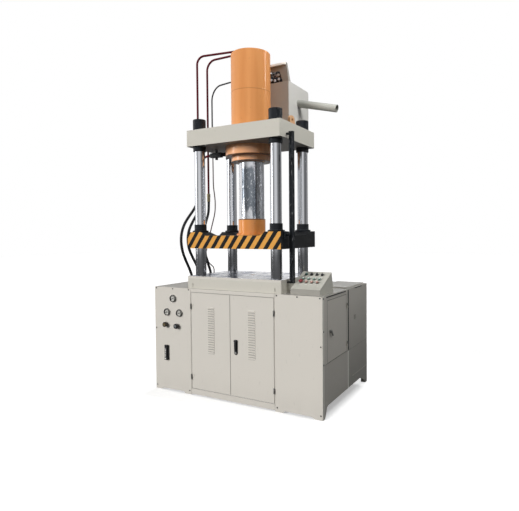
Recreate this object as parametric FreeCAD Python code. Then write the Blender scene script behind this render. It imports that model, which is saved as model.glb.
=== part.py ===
import FreeCAD, Part
import math
import os

# Four-column hydraulic press. Millimetres, +Z up, X across the front, Y towards the rear.
# The origin is on the floor, under the axis of the main cylinder.
V = FreeCAD.Vector
AXIS_X = V(1, 0, 0)
AXIS_Y = V(0, 1, 0)
AXIS_Z = V(0, 0, 1)

# ---------------------------------------------------------------- driving dimensions
BED_HALF_X = 553.5
BED_HALF_Y = 384.0
BED_TOP = 1225.0
BED_H = 265.0
BED_BOTTOM = BED_TOP - BED_H
TABLE_PLATE = 25.0
BASE_HALF_X = 977.0         # cabinets, to the outside of the side walls
FRONT_SPACE = 33.0          # from the bed to the plane of the doors
BASE_FRONT = -(BED_HALF_Y + FRONT_SPACE)
BASE_REAR = 823.5
BASE_TOP = 1098.5
SHEET = 3.0                 # cabinet sheet
RAIL = 50.0                 # square bars under the cabinets
RAIL_LOW = 108.0
RAIL_HIGH = RAIL_LOW + RAIL
PIN_R = 3.5                 # door hinges
KNUCKLE_R = 6.5
HINGE_OUT = 7.5             # hinge axis off the face of the sheet
HINGE_HALF = 26.0           # height of each half of a hinge
SEAM_GAP = 3.0              # gap round doors and panels
FRONT_PANEL_INNER = 495.0   # inner edge of both front panels
HEAD_SETBACK = 2.0          # crown and platen share one outline, just inside the bed's
HEAD_HALF_X = BED_HALF_X - HEAD_SETBACK
HEAD_HALF_Y = BED_HALF_Y - HEAD_SETBACK
CROWN_BOTTOM = 2556.0
CROWN_H = 162.5
CROWN_TOP = CROWN_BOTTOM + CROWN_H
PLATEN_BOTTOM = 1511.5
PLATEN_H = 166.5            # to the top of the corner pads
PAD_STEP = 38.0             # corner pads above the middle
PLATEN_TOP = PLATEN_BOTTOM + PLATEN_H
PLATEN_MID = PLATEN_TOP - PAD_STEP
COLUMN_X = HEAD_HALF_X - 101.5
COLUMN_Y = HEAD_HALF_Y - 92.0
COLUMN_R = 55.0
NUT_R = 66.0
CROWN_NUT_H = 115.0
NUT_RECESS = 7.5            # column end below the top of its nut
COLLAR_H = 49.0
BED_NUT_H = 80.0
COLUMN_TAIL = 12.0          # column end below its lower nut
COLUMN_TOP = CROWN_TOP + CROWN_NUT_H - NUT_RECESS
COLUMN_BOTTOM = BED_BOTTOM - BED_NUT_H - COLUMN_TAIL
CYL_R = 205.5
CYL_BORE = 165.0
CYL_TOP = 3511.0
CYL_HEAD = 60.0
HEAD_SEAM = CYL_TOP - 396.0     # weld between barrel and head
GLAND_R = 270.0
GLAND_LOW_R = 208.0
GLAND_FLANGE_H = 100.0
GLAND_H = 155.0
GLAND_STEP = CROWN_BOTTOM - GLAND_FLANGE_H
GLAND_BOTTOM = CROWN_BOTTOM - GLAND_H
RAM_R = 131.0
RAM_LENGTH = 1260.0
RAM_TOP = PLATEN_MID + RAM_LENGTH
PISTON_H = 80.0
WIPER_R = RAM_R + 17.0
WIPER_H = 6.0
RAM_COLLAR_R = 142.0
RAM_COLLAR_H = 171.0
RAM_FLANGE_R = RAM_COLLAR_R + 20.0
RAM_FLANGE_H = 14.0
BUSH_R = 62.5
BUSH_FLANGE_R = 82.0
BUSH_H = 77.0               # above the corner pads
TANK_HALF_X = 330.0
TANK_FRONT = 218.0
TANK_REAR = 706.0
TANK_DROP = 251.0           # tank top below the top of the cylinder
TANK_TOP = CYL_TOP - TANK_DROP
HOOD_H = 195.0
HOOD_TOP = TANK_TOP + HOOD_H
DOOR_LEFT = -FRONT_PANEL_INNER + 11.0
DOOR_RIGHT = FRONT_PANEL_INNER - 9.0
DOOR_SPLIT = -5.0
DOOR_LOW = 71.0
DOOR_HIGH = BASE_TOP - 36.5
DOOR_DEPTH = 20.0
PIPE_PLANE = -HEAD_HALF_X - 48.5    # X of the pipes and hoses beside the left edge of the crown
PIPE_R = 11.0

# ---------------------------------------------------------------- clearances
FIT_RUNNING = 0.05          # radial, where one piece slides or turns in another
FIT_SEAT = 0.2              # radial, where a fixed piece sits in a hole
CLEAR = 0.4                 # between pieces that move past each other

os.makedirs("parts", exist_ok=True)
written = []


def save(name, shape):
    shape.exportStep("parts/%s.step" % name)
    facets = len(shape.tessellate(0.5)[1])
    written.append((name, len(shape.Solids), facets, shape.Volume))


def group(shapes):
    return Part.makeCompound([s for shape in shapes for s in shape.Solids])


def box(x0, y0, z0, x1, y1, z1):
    return Part.makeBox(x1 - x0, y1 - y0, z1 - z0, V(x0, y0, z0))


def rod(x, y, z, radius, length, axis=AXIS_Z):
    return Part.makeCylinder(radius, length, V(x, y, z), axis)


def tube(x, y, z, outer, inner, length, axis=AXIS_Z):
    return rod(x, y, z, outer, length, axis).cut(rod(x, y, z, inner, length, axis))


def upright_fillet(shape, radius):
    """Round the edges that run along Z."""
    edges = [e for e in shape.Edges
             if abs(e.tangentAt(e.FirstParameter).z) > 0.999 and e.Curve.TypeId == "Part::GeomLine"]
    return shape.makeFillet(radius, edges)


def face_from(points):
    """Planar face through corner points; a corner (point, radius) is rounded with a tangent arc."""
    corners = [p if isinstance(p, tuple) else (p, 0.0) for p in points]
    count = len(corners)
    edges = []
    starts = []
    ends = []
    for i in range(count):
        point, radius = corners[i]
        before = corners[i - 1][0]
        after = corners[(i + 1) % count][0]
        if radius <= 0:
            starts.append(point)
            ends.append(point)
            edges.append(None)
            continue
        u = (before - point).normalize()
        w = (after - point).normalize()
        half = u.getAngle(w) / 2
        run = radius / math.tan(half)
        first = point + u * run
        last = point + w * run
        centre = point + (u + w).normalize() * (radius / math.sin(half))
        middle = centre + (point - centre).normalize() * radius
        starts.append(first)
        ends.append(last)
        edges.append(Part.Arc(first, middle, last).toShape())
    chain = []
    for i in range(count):
        if edges[i] is not None:
            chain.append(edges[i])
        a = ends[i]
        b = starts[(i + 1) % count]
        if (b - a).Length > 1e-6:
            chain.append(Part.makeLine(a, b))
    return Part.Face(Part.Wire(chain))


def plate_xz(points, y0, y1):
    """Plate parallel to the front, from (x, z) corners with an optional corner radius."""
    corners = [(V(p[0], y0, p[1]), p[2] if len(p) > 2 else 0.0) for p in points]
    return face_from(corners).extrude(V(0, y1 - y0, 0))


def plate_yz(points, x0, x1):
    """Plate parallel to the sides, from (y, z) corners with an optional corner radius."""
    corners = [(V(x0, p[0], p[1]), p[2] if len(p) > 2 else 0.0) for p in points]
    return face_from(corners).extrude(V(x1 - x0, 0, 0))


def revolve_z(profile, x, y):
    """Solid of revolution about a vertical axis from (radius, z) corners."""
    points = [V(x + r, y, z) for r, z in profile]
    face = Part.Face(Part.makePolygon(points + points[:1]))
    return face.revolve(V(x, y, 0), AXIS_Z, 360)


def turned(profile, origin, axis):
    """Turned part from (radius, height) corners, its height along the given axis."""
    points = [V(r, 0, h) for r, h in profile]
    face = Part.Face(Part.makePolygon(points + points[:1]))
    shape = face.revolve(V(0, 0, 0), AXIS_Z, 360)
    shape.Placement = FreeCAD.Placement(origin, FreeCAD.Rotation(AXIS_Z, axis))
    return shape


def hexagon(x, y, z, across, height):
    """Hexagon head, its height downwards when negative."""
    radius = across / math.sqrt(3)
    points = [V(x + radius * math.cos(math.radians(60 * i)), y + radius * math.sin(math.radians(60 * i)), z)
              for i in range(6)]
    return Part.Face(Part.makePolygon(points + points[:1])).extrude(V(0, 0, height))


def rounded_route(points):
    """Centre line: straight runs joined by tangent arcs. Returns the wire and its smallest radius."""
    points = [V(*p) for p in points]
    edges = []
    last = points[0]
    smallest = None
    for i in range(1, len(points) - 1):
        before, point, after = points[i - 1], points[i], points[i + 1]
        u = (before - point).normalize()
        w = (after - point).normalize()
        half_turn = (math.pi - u.getAngle(w)) / 2
        shorter = min((point - before).Length, (after - point).Length)
        run = 0.45 * shorter
        radius = run / math.tan(half_turn)
        smallest = radius if smallest is None else min(smallest, radius)
        first = point + u * run
        final = point + w * run
        bisector = (u + w).normalize()
        centre = point + bisector * math.hypot(radius, run)
        middle = centre - bisector * radius
        edges.append(Part.LineSegment(last, first).toShape())
        edges.append(Part.Arc(first, middle, final).toShape())
        last = final
    edges.append(Part.LineSegment(last, points[-1]).toShape())
    return Part.Wire(edges), smallest


def swept(points, radius, name):
    """Round bar along a route; prints its bends and compares its volume with section times length."""
    path, smallest = rounded_route(points)
    start = V(*points[0])
    direction = V(*points[1]) - start
    section = Part.Wire(Part.makeCircle(radius, start, direction))
    body = path.makePipeShell([section], True, False)
    expected = math.pi * radius ** 2 * path.Length
    print("%s: smallest bend radius %.0f, volume ratio %.4f" % (name, smallest, body.Volume / expected))
    return body


COLUMNS = [(sx * COLUMN_X, sy * COLUMN_Y) for sx in (-1, 1) for sy in (-1, 1)]


# ================================================================ base
PEDESTAL_OUT = BED_HALF_X - 0.5
PEDESTAL_T = 27.0
PEDESTAL_IN = PEDESTAL_OUT - PEDESTAL_T
WINDOW_HALF_Y = 150.0       # windows in the walls under the bed
WINDOW_Z = (330.0, 650.0)
WINDOW_CORNER = 60.0
FOOT_T = 12.0
FOOT_W = 45.0
CROSS_Z = (66.0, 106.0)     # flat bars across the bay
SOLE_HALF_Y = 60.0
SOLE_H = 40.0


def base_frame():
    """Two side walls that carry the bed, cross rails, cabinet rails and corner legs."""
    pieces = []
    front = BASE_FRONT + SHEET
    rear = BASE_REAR - SHEET
    for side in (-1, 1):
        wall = plate_yz([(-BED_HALF_Y, 0), (BED_HALF_Y, 0), (BED_HALF_Y, BED_BOTTOM), (-BED_HALF_Y, BED_BOTTOM)],
                        side * PEDESTAL_IN, side * PEDESTAL_OUT)
        window = [(y, z, WINDOW_CORNER) for y, z in
                  ((-WINDOW_HALF_Y, WINDOW_Z[0]), (WINDOW_HALF_Y, WINDOW_Z[0]),
                   (WINDOW_HALF_Y, WINDOW_Z[1]), (-WINDOW_HALF_Y, WINDOW_Z[1]))]
        pieces.append(wall.cut(plate_yz(window, side * (PEDESTAL_IN - 5), side * (PEDESTAL_OUT + 5))))
        low, high = sorted((side * PEDESTAL_OUT, side * (BASE_HALF_X - SHEET)))
        for y in (front, rear - RAIL):
            pieces.append(box(low, y, RAIL_LOW, high, y + RAIL, RAIL_HIGH))
        inner, outer = sorted((side * (BASE_HALF_X - SHEET - RAIL), side * (BASE_HALF_X - SHEET)))
        pieces.append(box(inner, front + RAIL, RAIL_LOW, outer, rear - RAIL, RAIL_HIGH))
        for y in (front + 5, rear - RAIL):
            pieces.append(box(inner, y, FOOT_T, outer, y + FOOT_W, RAIL_LOW))
            pieces.append(box(inner, y, 0, outer, y + FOOT_W, FOOT_T))
        low, high = sorted((side * PEDESTAL_OUT, side * (PEDESTAL_OUT + 46)))
        pieces.append(box(low, rear - 46, 0, high, rear, RAIL_LOW))
    pieces.append(box(-PEDESTAL_IN, -SOLE_HALF_Y, 0, PEDESTAL_IN, SOLE_HALF_Y, SOLE_H))
    for y in (-250, 250):
        pieces.append(box(-PEDESTAL_IN, y - 40, CROSS_Z[0], PEDESTAL_IN, y + 40, CROSS_Z[1]))
    pieces.append(box(-PEDESTAL_OUT, rear - RAIL, RAIL_LOW, PEDESTAL_OUT, rear, RAIL_HIGH))
    for x in (-330, 250):
        pieces.append(box(x, 290, CROSS_Z[0], x + 60, rear - RAIL, CROSS_Z[1]))
        pieces.append(box(x, rear - RAIL, CROSS_Z[0], x + 60, rear - 10, RAIL_LOW))
    return group(pieces)


FRONT_LEG = [(BASE_FRONT + SHEET, 0), (BASE_FRONT + 51, 0, 14), (BASE_FRONT + 101, 100, 40)]
REAR_LEG = [(BASE_REAR - 233.5, 100, 30), (BASE_REAR - 123.5, 58), (BASE_REAR - 37.5, 0)]


def side_wall(side, openings):
    """Side wall with its legs, from the front corner to the rear."""
    outline = FRONT_LEG + REAR_LEG + [(BASE_REAR, 0), (BASE_REAR, BASE_TOP - SHEET),
                                      (BASE_FRONT + SHEET, BASE_TOP - SHEET)]
    wall = plate_yz(outline, side * (BASE_HALF_X - SHEET), side * BASE_HALF_X)
    for y0, z0, y1, z1 in openings:
        cutter = plate_yz([(y0, z0, 3), (y1, z0, 3), (y1, z1, 3), (y0, z1, 3)],
                          side * (BASE_HALF_X - 3 * SHEET), side * (BASE_HALF_X + SHEET))
        wall = wall.cut(cutter)
    face = [side * (BASE_HALF_X - SEAM_DEPTH), side * (BASE_HALF_X + SHEET)]
    low, high = min(face), max(face)
    seam = SIDE_DOOR_Z[0] - SEAM_GAP
    middle = (SLOT_Y[0] + SLOT_Y[1]) / 2
    return wall.cut([box(low, BASE_FRONT, seam, high, BASE_REAR + 1, seam + SEAM_GAP),
                     box(low, middle - SEAM_GAP / 2, 0, high, middle + SEAM_GAP / 2, seam + 1)])


SEAM_DEPTH = 1.5            # grooves where the sheets of the side walls meet
SLOT_Y = (223.0, 237.0)     # open seam between the front and rear bays
SLOT_Z = (485.0, BASE_TOP - 7.5)
SIDE_DOOR_Y = (BASE_FRONT + 108.0, 182.0)
SIDE_DOOR_Z = (484.0, BASE_TOP - 45.5)
SIDE_FOLD = 12.0
SIDE_HINGE = (BASE_HALF_X + HINGE_OUT, SIDE_DOOR_Y[1] + 4.5)
SIDE_HINGE_Z = (SIDE_DOOR_Z[0] + 76.0, SIDE_DOOR_Z[1] - 113.0)
GRILLE_Y = (405.0, 465.0)
GRILLE_Z = [BASE_TOP - 330.5 + 16.0 * i for i in range(3)]
TRIM_Z = 190.0              # folded edge low on the side walls
TRIM_Y = (338.0, 796.0)
SHELF_Z = 470.0             # floor of the electrical bay
LID_H = 10.0


def cabinet_wall(side, openings):
    """Side wall with the folded edge that stands 2 mm proud of it."""
    low, high = sorted((side * (BASE_HALF_X - SHEET), side * (BASE_HALF_X + 2)))
    return side_wall(side, openings).fuse(box(low, TRIM_Y[0], TRIM_Z, high, TRIM_Y[1], TRIM_Z + 5))


def cabinet(side):
    """Cabinet beside the bed: rear wall, top and floor sheets."""
    low, high = sorted((side * (PEDESTAL_OUT + 1), side * (BASE_HALF_X - SHEET)))
    rear = plate_xz([(low, RAIL_LOW), (high, RAIL_LOW), (high, BASE_TOP - SHEET), (low, BASE_TOP - SHEET)],
                    BASE_REAR - SHEET, BASE_REAR)
    top_low, top_high = sorted((side * (BED_HALF_X + 1), side * BASE_HALF_X))
    top = box(top_low, BASE_FRONT + SHEET, BASE_TOP - SHEET, top_high, BASE_REAR, BASE_TOP)
    floor = box(low, BASE_FRONT + SHEET + RAIL, RAIL_HIGH, high, BASE_REAR - SHEET, RAIL_HIGH + SHEET)
    return rear, top, floor


def left_cabinet():
    wall = cabinet_wall(-1, [(SLOT_Y[0], SLOT_Z[0], SLOT_Y[1], SLOT_Z[1])])
    rear, top, floor = cabinet(-1)
    for x, y, _ in HOSE_PORTS:
        top = top.cut(rod(x, y, BASE_TOP - 10, PORT_HOLE_R, 20))
    lid = box(-BASE_HALF_X + 42, 280, BASE_TOP, PIPE_PLANE, BASE_REAR - 33.5, BASE_TOP + LID_H)
    return group([wall, rear, top, floor, upright_fillet(lid, 12)])


def right_side_wall():
    """Side wall of the electrical bay and the tank bay, with the fixed halves of the door's hinges."""
    grille = [(GRILLE_Y[0], z, GRILLE_Y[1], z + 6) for z in GRILLE_Z]
    door = (SIDE_DOOR_Y[0] - SEAM_GAP, SIDE_DOOR_Z[0] - SEAM_GAP,
            SIDE_DOOR_Y[1] + SEAM_GAP, SIDE_DOOR_Z[1] + SEAM_GAP)
    wall = cabinet_wall(1, [door, (SLOT_Y[0], SLOT_Z[0], SLOT_Y[1], SLOT_Z[1])] + grille)
    pins = []
    x, y = SIDE_HINGE
    for z in SIDE_HINGE_Z:
        pin = rod(x, y, z - HINGE_HALF, PIN_R, 2 * HINGE_HALF)
        knuckle = rod(x, y, z - HINGE_HALF, KNUCKLE_R, HINGE_HALF - CLEAR)
        leaf = box(BASE_HALF_X, y, z - HINGE_HALF, x, y + 20, z - CLEAR)
        leaf = leaf.cut(box(BASE_HALF_X + 3, y + 3, z - HINGE_HALF - 1, x + 1, y + 21, z))
        pins.append(pin.fuse([knuckle, leaf]))
    return wall.fuse(pins)


def right_cabinet():
    """Electrical bay in front with its shelf, and the oil tank bay behind the divider."""
    rear, top, floor = cabinet(1)
    inside = BASE_HALF_X - SHEET
    base = RAIL_HIGH + SHEET
    post = box(inside - 30, SLOT_Y[0] - 24, base, inside, SLOT_Y[0] - 8, BASE_TOP - SHEET)
    divider = box(BED_HALF_X + 46.5, SLOT_Y[1] + 3, base, inside, SLOT_Y[1] + 6, BASE_TOP - SHEET)
    shelf = box(PEDESTAL_OUT + 1, BASE_FRONT + 57, SHELF_Z, inside, SLOT_Y[0] - 28, SHELF_Z + SHEET)
    lid = box(BED_HALF_X + 86.5, SLOT_Y[1] + 25, BASE_TOP, BASE_HALF_X - 27, BASE_REAR - 23.5, BASE_TOP + LID_H)
    lid = upright_fillet(lid, 12)
    return group([rear, top, floor, post, divider, shelf, lid])


def foot_panel(x_outer, x_inner, holes):
    """Front panel: it stands on the floor at both ends and arches clear of it between them."""
    s = 1 if x_outer > 0 else -1
    points = [(x_outer, 0), (x_outer - s * 76, 0), (x_outer - s * 112, 18, 60), (x_inner + s * 96, 20, 20),
              (x_inner + s * 84, 0), (x_inner, 0), (x_inner, BASE_TOP), (x_outer, BASE_TOP)]
    panel = plate_xz(points, BASE_FRONT, BASE_FRONT + SHEET)
    flange_a, flange_b = sorted((x_inner, x_inner + s * SHEET))
    panel = panel.fuse(box(flange_a, BASE_FRONT + SHEET, 60, flange_b, BASE_FRONT + 23, BASE_TOP - SHEET))
    for x, z, radius in holes:
        panel = panel.cut(rod(x, BASE_FRONT - 5, z, radius, 20, AXIS_Y))
    return panel


def front_panels():
    """Panels in front of both cabinets; the left one carries the gauges and knobs."""
    stems = [(x, z, KNOB_STEM_R + CLEAR) for x, z in KNOBS]
    return group([foot_panel(-BASE_HALF_X, -FRONT_PANEL_INNER, stems),
                  foot_panel(BASE_HALF_X, FRONT_PANEL_INNER, [])])


FRONT_PANEL_MID = (BASE_HALF_X + FRONT_PANEL_INNER) / 2
GAUGES = [(-FRONT_PANEL_MID + 12, 984.0), (-FRONT_PANEL_MID - 71, 836.0), (-FRONT_PANEL_MID + 95, 836.0)]
KNOBS = [(-FRONT_PANEL_MID - 86, 704.0), (-FRONT_PANEL_MID + 65, 698.0)]
KNOB_STEM_R = 7.0
LEVEL_X = -FRONT_PANEL_MID - 82
LEVEL_Z = (326.0, 484.0)


def centre_surround():
    """Frame round the two doors, rear cover of the bay and the fixed halves of the door hinges."""
    inner = FRONT_PANEL_INNER - SEAM_GAP
    bay_top = DOOR_HIGH + 6
    outline = [(-inner, 12), (inner, 12), (inner, BASE_TOP), (-inner, BASE_TOP)]
    frame = plate_xz(outline, BASE_FRONT, BASE_FRONT + SHEET)
    opening = box(DOOR_LEFT - SEAM_GAP, BASE_FRONT - 5, DOOR_LOW - SEAM_GAP,
                  DOOR_RIGHT + SEAM_GAP, BASE_FRONT + 10, DOOR_HIGH + SEAM_GAP)
    frame = frame.cut(opening)
    ledge = box(-inner, BASE_FRONT + SHEET, BASE_TOP - SHEET, inner, -BED_HALF_Y - 0.5, BASE_TOP)
    sill = box(-inner, BASE_FRONT + SHEET, 45, inner, BASE_FRONT + 30, 48)
    header = box(-inner, BASE_FRONT + SHEET, bay_top, inner, BASE_FRONT + 26, bay_top + SHEET)
    jambs = [box(-inner, BASE_FRONT + SHEET, 48, -inner + SHEET, -BED_HALF_Y - 0.5, bay_top),
             box(inner - SHEET, BASE_FRONT + SHEET, 48, inner, -BED_HALF_Y - 0.5, bay_top)]
    frame = frame.fuse([ledge, sill, header] + jambs)
    for x, s in ((DOOR_LEFT - 1.5, -1), (DOOR_RIGHT + 1.5, 1)):
        for z in HINGE_Z:
            pin = rod(x, HINGE_Y, z - HINGE_HALF, PIN_R, 2 * HINGE_HALF)
            knuckle = rod(x, HINGE_Y, z - HINGE_HALF, KNUCKLE_R, HINGE_HALF - CLEAR)
            low, high = sorted((x + s * 2, x + s * 6))
            leaf = box(low, HINGE_Y, z - HINGE_HALF, high, BASE_FRONT + 1, z - CLEAR)
            frame = frame.fuse([pin, knuckle, leaf])
    rear = box(-PEDESTAL_OUT, BASE_REAR - SHEET, RAIL_LOW, PEDESTAL_OUT, BASE_REAR, BASE_TOP - SHEET)
    slots = [box(-300, BASE_REAR - 10, z, -120, BASE_REAR + 5, z + 10) for z in range(300, 700, 40)]
    slots += [box(120, BASE_REAR - 10, z, 300, BASE_REAR + 5, z + 10) for z in range(300, 700, 40)]
    rear = rear.cut(slots)
    cover = box(-BED_HALF_X, BED_HALF_Y + 0.5, BASE_TOP - SHEET, BED_HALF_X, BASE_REAR, BASE_TOP)
    return group([frame, rear, cover])


HINGE_Y = BASE_FRONT - HINGE_OUT
HINGE_Z = (DOOR_LOW + 121.0, DOOR_HIGH - 144.0)
LOUVRE_PITCH = 23.7
LOUVRE_COUNT = 20
LOUVRE_LOW = 463.0
LOUVRE_HALF = 39.0


def door(x0, x1, louvre_x, hinge_x):
    """Sheet door with folded edges, a column of pressed louvres and two hinge knuckles."""
    body = box(x0, BASE_FRONT, DOOR_LOW, x1, BASE_FRONT + DOOR_DEPTH, DOOR_HIGH)
    body = body.cut(box(x0 + 2, BASE_FRONT + 2, DOOR_LOW + 2, x1 - 2, BASE_FRONT + DOOR_DEPTH + 1, DOOR_HIGH - 2))
    half = LOUVRE_HALF
    cuts = []
    hoods = []
    for i in range(LOUVRE_COUNT):
        z = LOUVRE_LOW + i * LOUVRE_PITCH
        cuts.append(box(louvre_x - half, BASE_FRONT - 2, z, louvre_x + half, BASE_FRONT + 4, z + 6))
        section = [V(louvre_x - half, BASE_FRONT, z + 6), V(louvre_x - half, BASE_FRONT - 6, z + 2),
                   V(louvre_x - half, BASE_FRONT - 6, z + 5), V(louvre_x - half, BASE_FRONT, z + 14)]
        hoods.append(Part.Face(Part.makePolygon(section + section[:1])).extrude(V(2 * half, 0, 0)))
    body = body.cut(cuts).fuse(hoods)
    inward = 1 if hinge_x < 0 else -1
    for z in HINGE_Z:
        low, high = sorted((hinge_x + inward * 2, hinge_x + inward * 6))
        web = box(low, HINGE_Y, z + CLEAR, high, BASE_FRONT + 1, z + HINGE_HALF)
        low, high = sorted((hinge_x + inward * 2, hinge_x + inward * 26))
        leaf = box(low, BASE_FRONT - 3, z + CLEAR, high, BASE_FRONT, z + HINGE_HALF)
        knuckle = rod(hinge_x, HINGE_Y, z + CLEAR, KNUCKLE_R, HINGE_HALF - CLEAR)
        body = body.fuse([leaf.cut(knuckle), web, knuckle])
        body = body.cut(rod(hinge_x, HINGE_Y, z - 1, PIN_R + FIT_RUNNING, HINGE_HALF + 10))
    return body.removeSplitter()


HANDLE_X = DOOR_SPLIT + 67.5
HANDLE_Z = (480.0, 627.0)
HANDLE_PIN_R = 2.5


def left_door():
    return door(DOOR_LEFT, DOOR_SPLIT - SEAM_GAP / 2, DOOR_LEFT + 249.0, DOOR_LEFT - 1.5)


def right_door():
    """The right door carries the dished escutcheon of the swing handle."""
    body = door(DOOR_SPLIT + SEAM_GAP / 2, DOOR_RIGHT, DOOR_RIGHT - 243.5, DOOR_RIGHT + 1.5)
    z0, z1 = HANDLE_Z
    plate = plate_xz([(HANDLE_X - 19, z0, 18), (HANDLE_X + 19, z0, 18), (HANDLE_X + 19, z1, 8),
                      (HANDLE_X - 19, z1, 8)], BASE_FRONT - 4, BASE_FRONT)
    lock = tube(HANDLE_X, BASE_FRONT - 9, z0 + 19, 13, 9, 5, AXIS_Y)
    core = rod(HANDLE_X, BASE_FRONT - 7, z0 + 19, 9, 3, AXIS_Y)
    slot = box(HANDLE_X - 1, BASE_FRONT - 10, z0 + 13, HANDLE_X + 1, BASE_FRONT - 5, z0 + 25)
    ears = [box(x, BASE_FRONT - 20, z1 - 16, x + 4, BASE_FRONT - 4, z1 - 4) for x in (HANDLE_X - 15, HANDLE_X + 11)]
    pin = rod(HANDLE_X - 13, BASE_FRONT - 13, z1 - 10, HANDLE_PIN_R, 26, AXIS_X)
    return body.fuse([plate, lock, core.cut(slot)] + ears + [pin])


def door_handle():
    """Swing handle: it turns about the pin at its top, its free end pulls outwards."""
    z0, z1 = HANDLE_Z
    y = BASE_FRONT - 13
    section = [(y + 5.5, z1 - 8, 0), (y + 5, z0 + 40, 0), (y - 1, z0 + 35, 4), (y - 6, z0 + 42, 4),
               (y - 6, z1 - 14, 5), (y - 3, z1 - 5, 3), (y + 3, z1 - 4, 3)]
    lever = plate_yz(section, HANDLE_X - 10, HANDLE_X + 10)
    return lever.cut(rod(HANDLE_X - 30, y, z1 - 10, HANDLE_PIN_R + FIT_RUNNING, 60, AXIS_X))


def side_door():
    """Door of the electrical bay, hinged at its rear edge."""
    y0, y1 = SIDE_DOOR_Y
    z0, z1 = SIDE_DOOR_Z
    body = box(BASE_HALF_X - SIDE_FOLD, y0, z0, BASE_HALF_X, y1, z1)
    body = body.cut(box(BASE_HALF_X - SIDE_FOLD - 1, y0 + 2, z0 + 2, BASE_HALF_X - 2, y1 - 2, z1 - 2))
    x, y = SIDE_HINGE
    for z in SIDE_HINGE_Z:
        leaf = box(BASE_HALF_X, y1 - 18, z + CLEAR, BASE_HALF_X + 3, y1 - 0.5, z + HINGE_HALF)
        web = box(BASE_HALF_X, y1 - 3.5, z + CLEAR, x, y1 - 0.5, z + HINGE_HALF)
        web = web.fuse(box(BASE_HALF_X + 4, y1 - 1, z + CLEAR, x, y, z + HINGE_HALF))
        knuckle = rod(x, y, z + CLEAR, KNUCKLE_R, HINGE_HALF - CLEAR)
        body = body.fuse([leaf, web, knuckle])
        body = body.cut(rod(x, y, z - 1, PIN_R + FIT_RUNNING, HINGE_HALF + 10))
    body = body.cut(rod(BASE_HALF_X - 5, SIDE_HANDLE[0], SIDE_HANDLE[1], CAM_STEM_R + FIT_RUNNING, 10, AXIS_X))
    return body.removeSplitter()


SIDE_HANDLE = (SIDE_DOOR_Y[0] + 64.0, (SIDE_DOOR_Z[0] + SIDE_DOOR_Z[1]) / 2 - 0.5)
CAM_STEM_R = 7.0
CAM_REACH = 80.0            # long enough to lie behind the wall when it is turned to the edge


def side_handle():
    """Cam lock: a stem through the door, a lever outside and a cam tongue inside."""
    y, z = SIDE_HANDLE
    x = BASE_HALF_X
    back = SIDE_FOLD + 7.0
    boss = turned([(0, 0), (17, 0), (17, 9), (14, 13), (0, 13)], V(x + CLEAR, y, z), AXIS_X)
    stem = rod(x - back, y, z, CAM_STEM_R, back + 2, AXIS_X)
    arm = plate_yz([(-9, -9, 8), (9, -9, 8), (5, 62, 5), (-5, 62, 5)], x + 9, x + 19)
    arm.rotate(V(x, 0, 0), AXIS_X, -180 + 38)
    arm.translate(V(0, y, z))
    cam = plate_yz([(y - 8, z + 8, 3), (y + 8, z + 8, 3), (y + 8, z - CAM_REACH, 3), (y - 8, z - CAM_REACH, 3)],
                   x - back, x - back + 3)
    return boss.fuse([stem, arm, cam]).removeSplitter()


def panel_screws():
    """Button-head screws of the front panels and of the side post."""
    spots = []
    inner = FRONT_PANEL_INNER + 22
    top = BASE_TOP - 13.5
    for s in (-1, 1):
        spots += [(s * inner, top), (s * (FRONT_PANEL_MID - 8), top), (s * (BASE_HALF_X - 24), top),
                  (s * (BASE_HALF_X - 17), 655), (s * inner, 40), (s * (BASE_HALF_X - 19), 40)]
    head = [(0, 0), (7, 0), (7, 1.5), (4, 4.5), (0, 4.5)]
    screws = [turned(head, V(x, BASE_FRONT, z), V(0, -1, 0)) for x, z in spots]
    for z in (BASE_TOP - 18.5, 787, 492):
        screws.append(turned(head, V(BASE_HALF_X, BASE_FRONT + 21, z), AXIS_X))
    return group(screws)


# ================================================================ press frame
TABLE_BOLT_X = (50.0, 150.0, 250.0)
TABLE_BOLT_Y = (55.0, 165.0)
TABLE_BOLT_R = 8.75
TABLE_BOLT_DEPTH = 20.0
EJECTOR_R = 30.0
EJECTOR_BORE = EJECTOR_R + 6.0      # in the bed
EJECTOR_HOLE = EJECTOR_R + 1.5      # in the table
POCKET_X = COLUMN_X - 110.0         # pockets in the underside, beside the ejector
POCKET_Y = (BED_HALF_Y - 194.0, BED_HALF_Y - 34.0)
POCKET_TOP = BED_TOP - 105.0
BED_SLOT_X = BED_HALF_X - 69.0      # upright slots in the front face
BED_SLOT_Z = (BED_TOP - 115.0, BED_TOP - 73.0)


def bed():
    """Lower beam: column holes, a bore for the ejector and ribbed underside."""
    body = upright_fillet(box(-BED_HALF_X, -BED_HALF_Y, BED_BOTTOM, BED_HALF_X, BED_HALF_Y, BED_TOP - TABLE_PLATE), 10)
    tools = [rod(x, y, BED_BOTTOM - 1, COLUMN_R + FIT_SEAT, 400) for x, y in COLUMNS]
    tools.append(rod(0, 0, BED_BOTTOM - 1, EJECTOR_BORE, 400))
    z0, z1 = BED_SLOT_Z
    for s in (-1, 1):
        y0, y1 = sorted((s * POCKET_Y[0], s * POCKET_Y[1]))
        tools.append(box(-POCKET_X, y0, BED_BOTTOM - 1, POCKET_X, y1, POCKET_TOP))
        x = s * BED_SLOT_X
        tools.append(plate_xz([(x - 4, z0, 3.9), (x + 4, z0, 3.9), (x + 4, z1, 3.9), (x - 4, z1, 3.9)],
                              -BED_HALF_Y - 5, -BED_HALF_Y + 5))
    return body.cut(tools)


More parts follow.
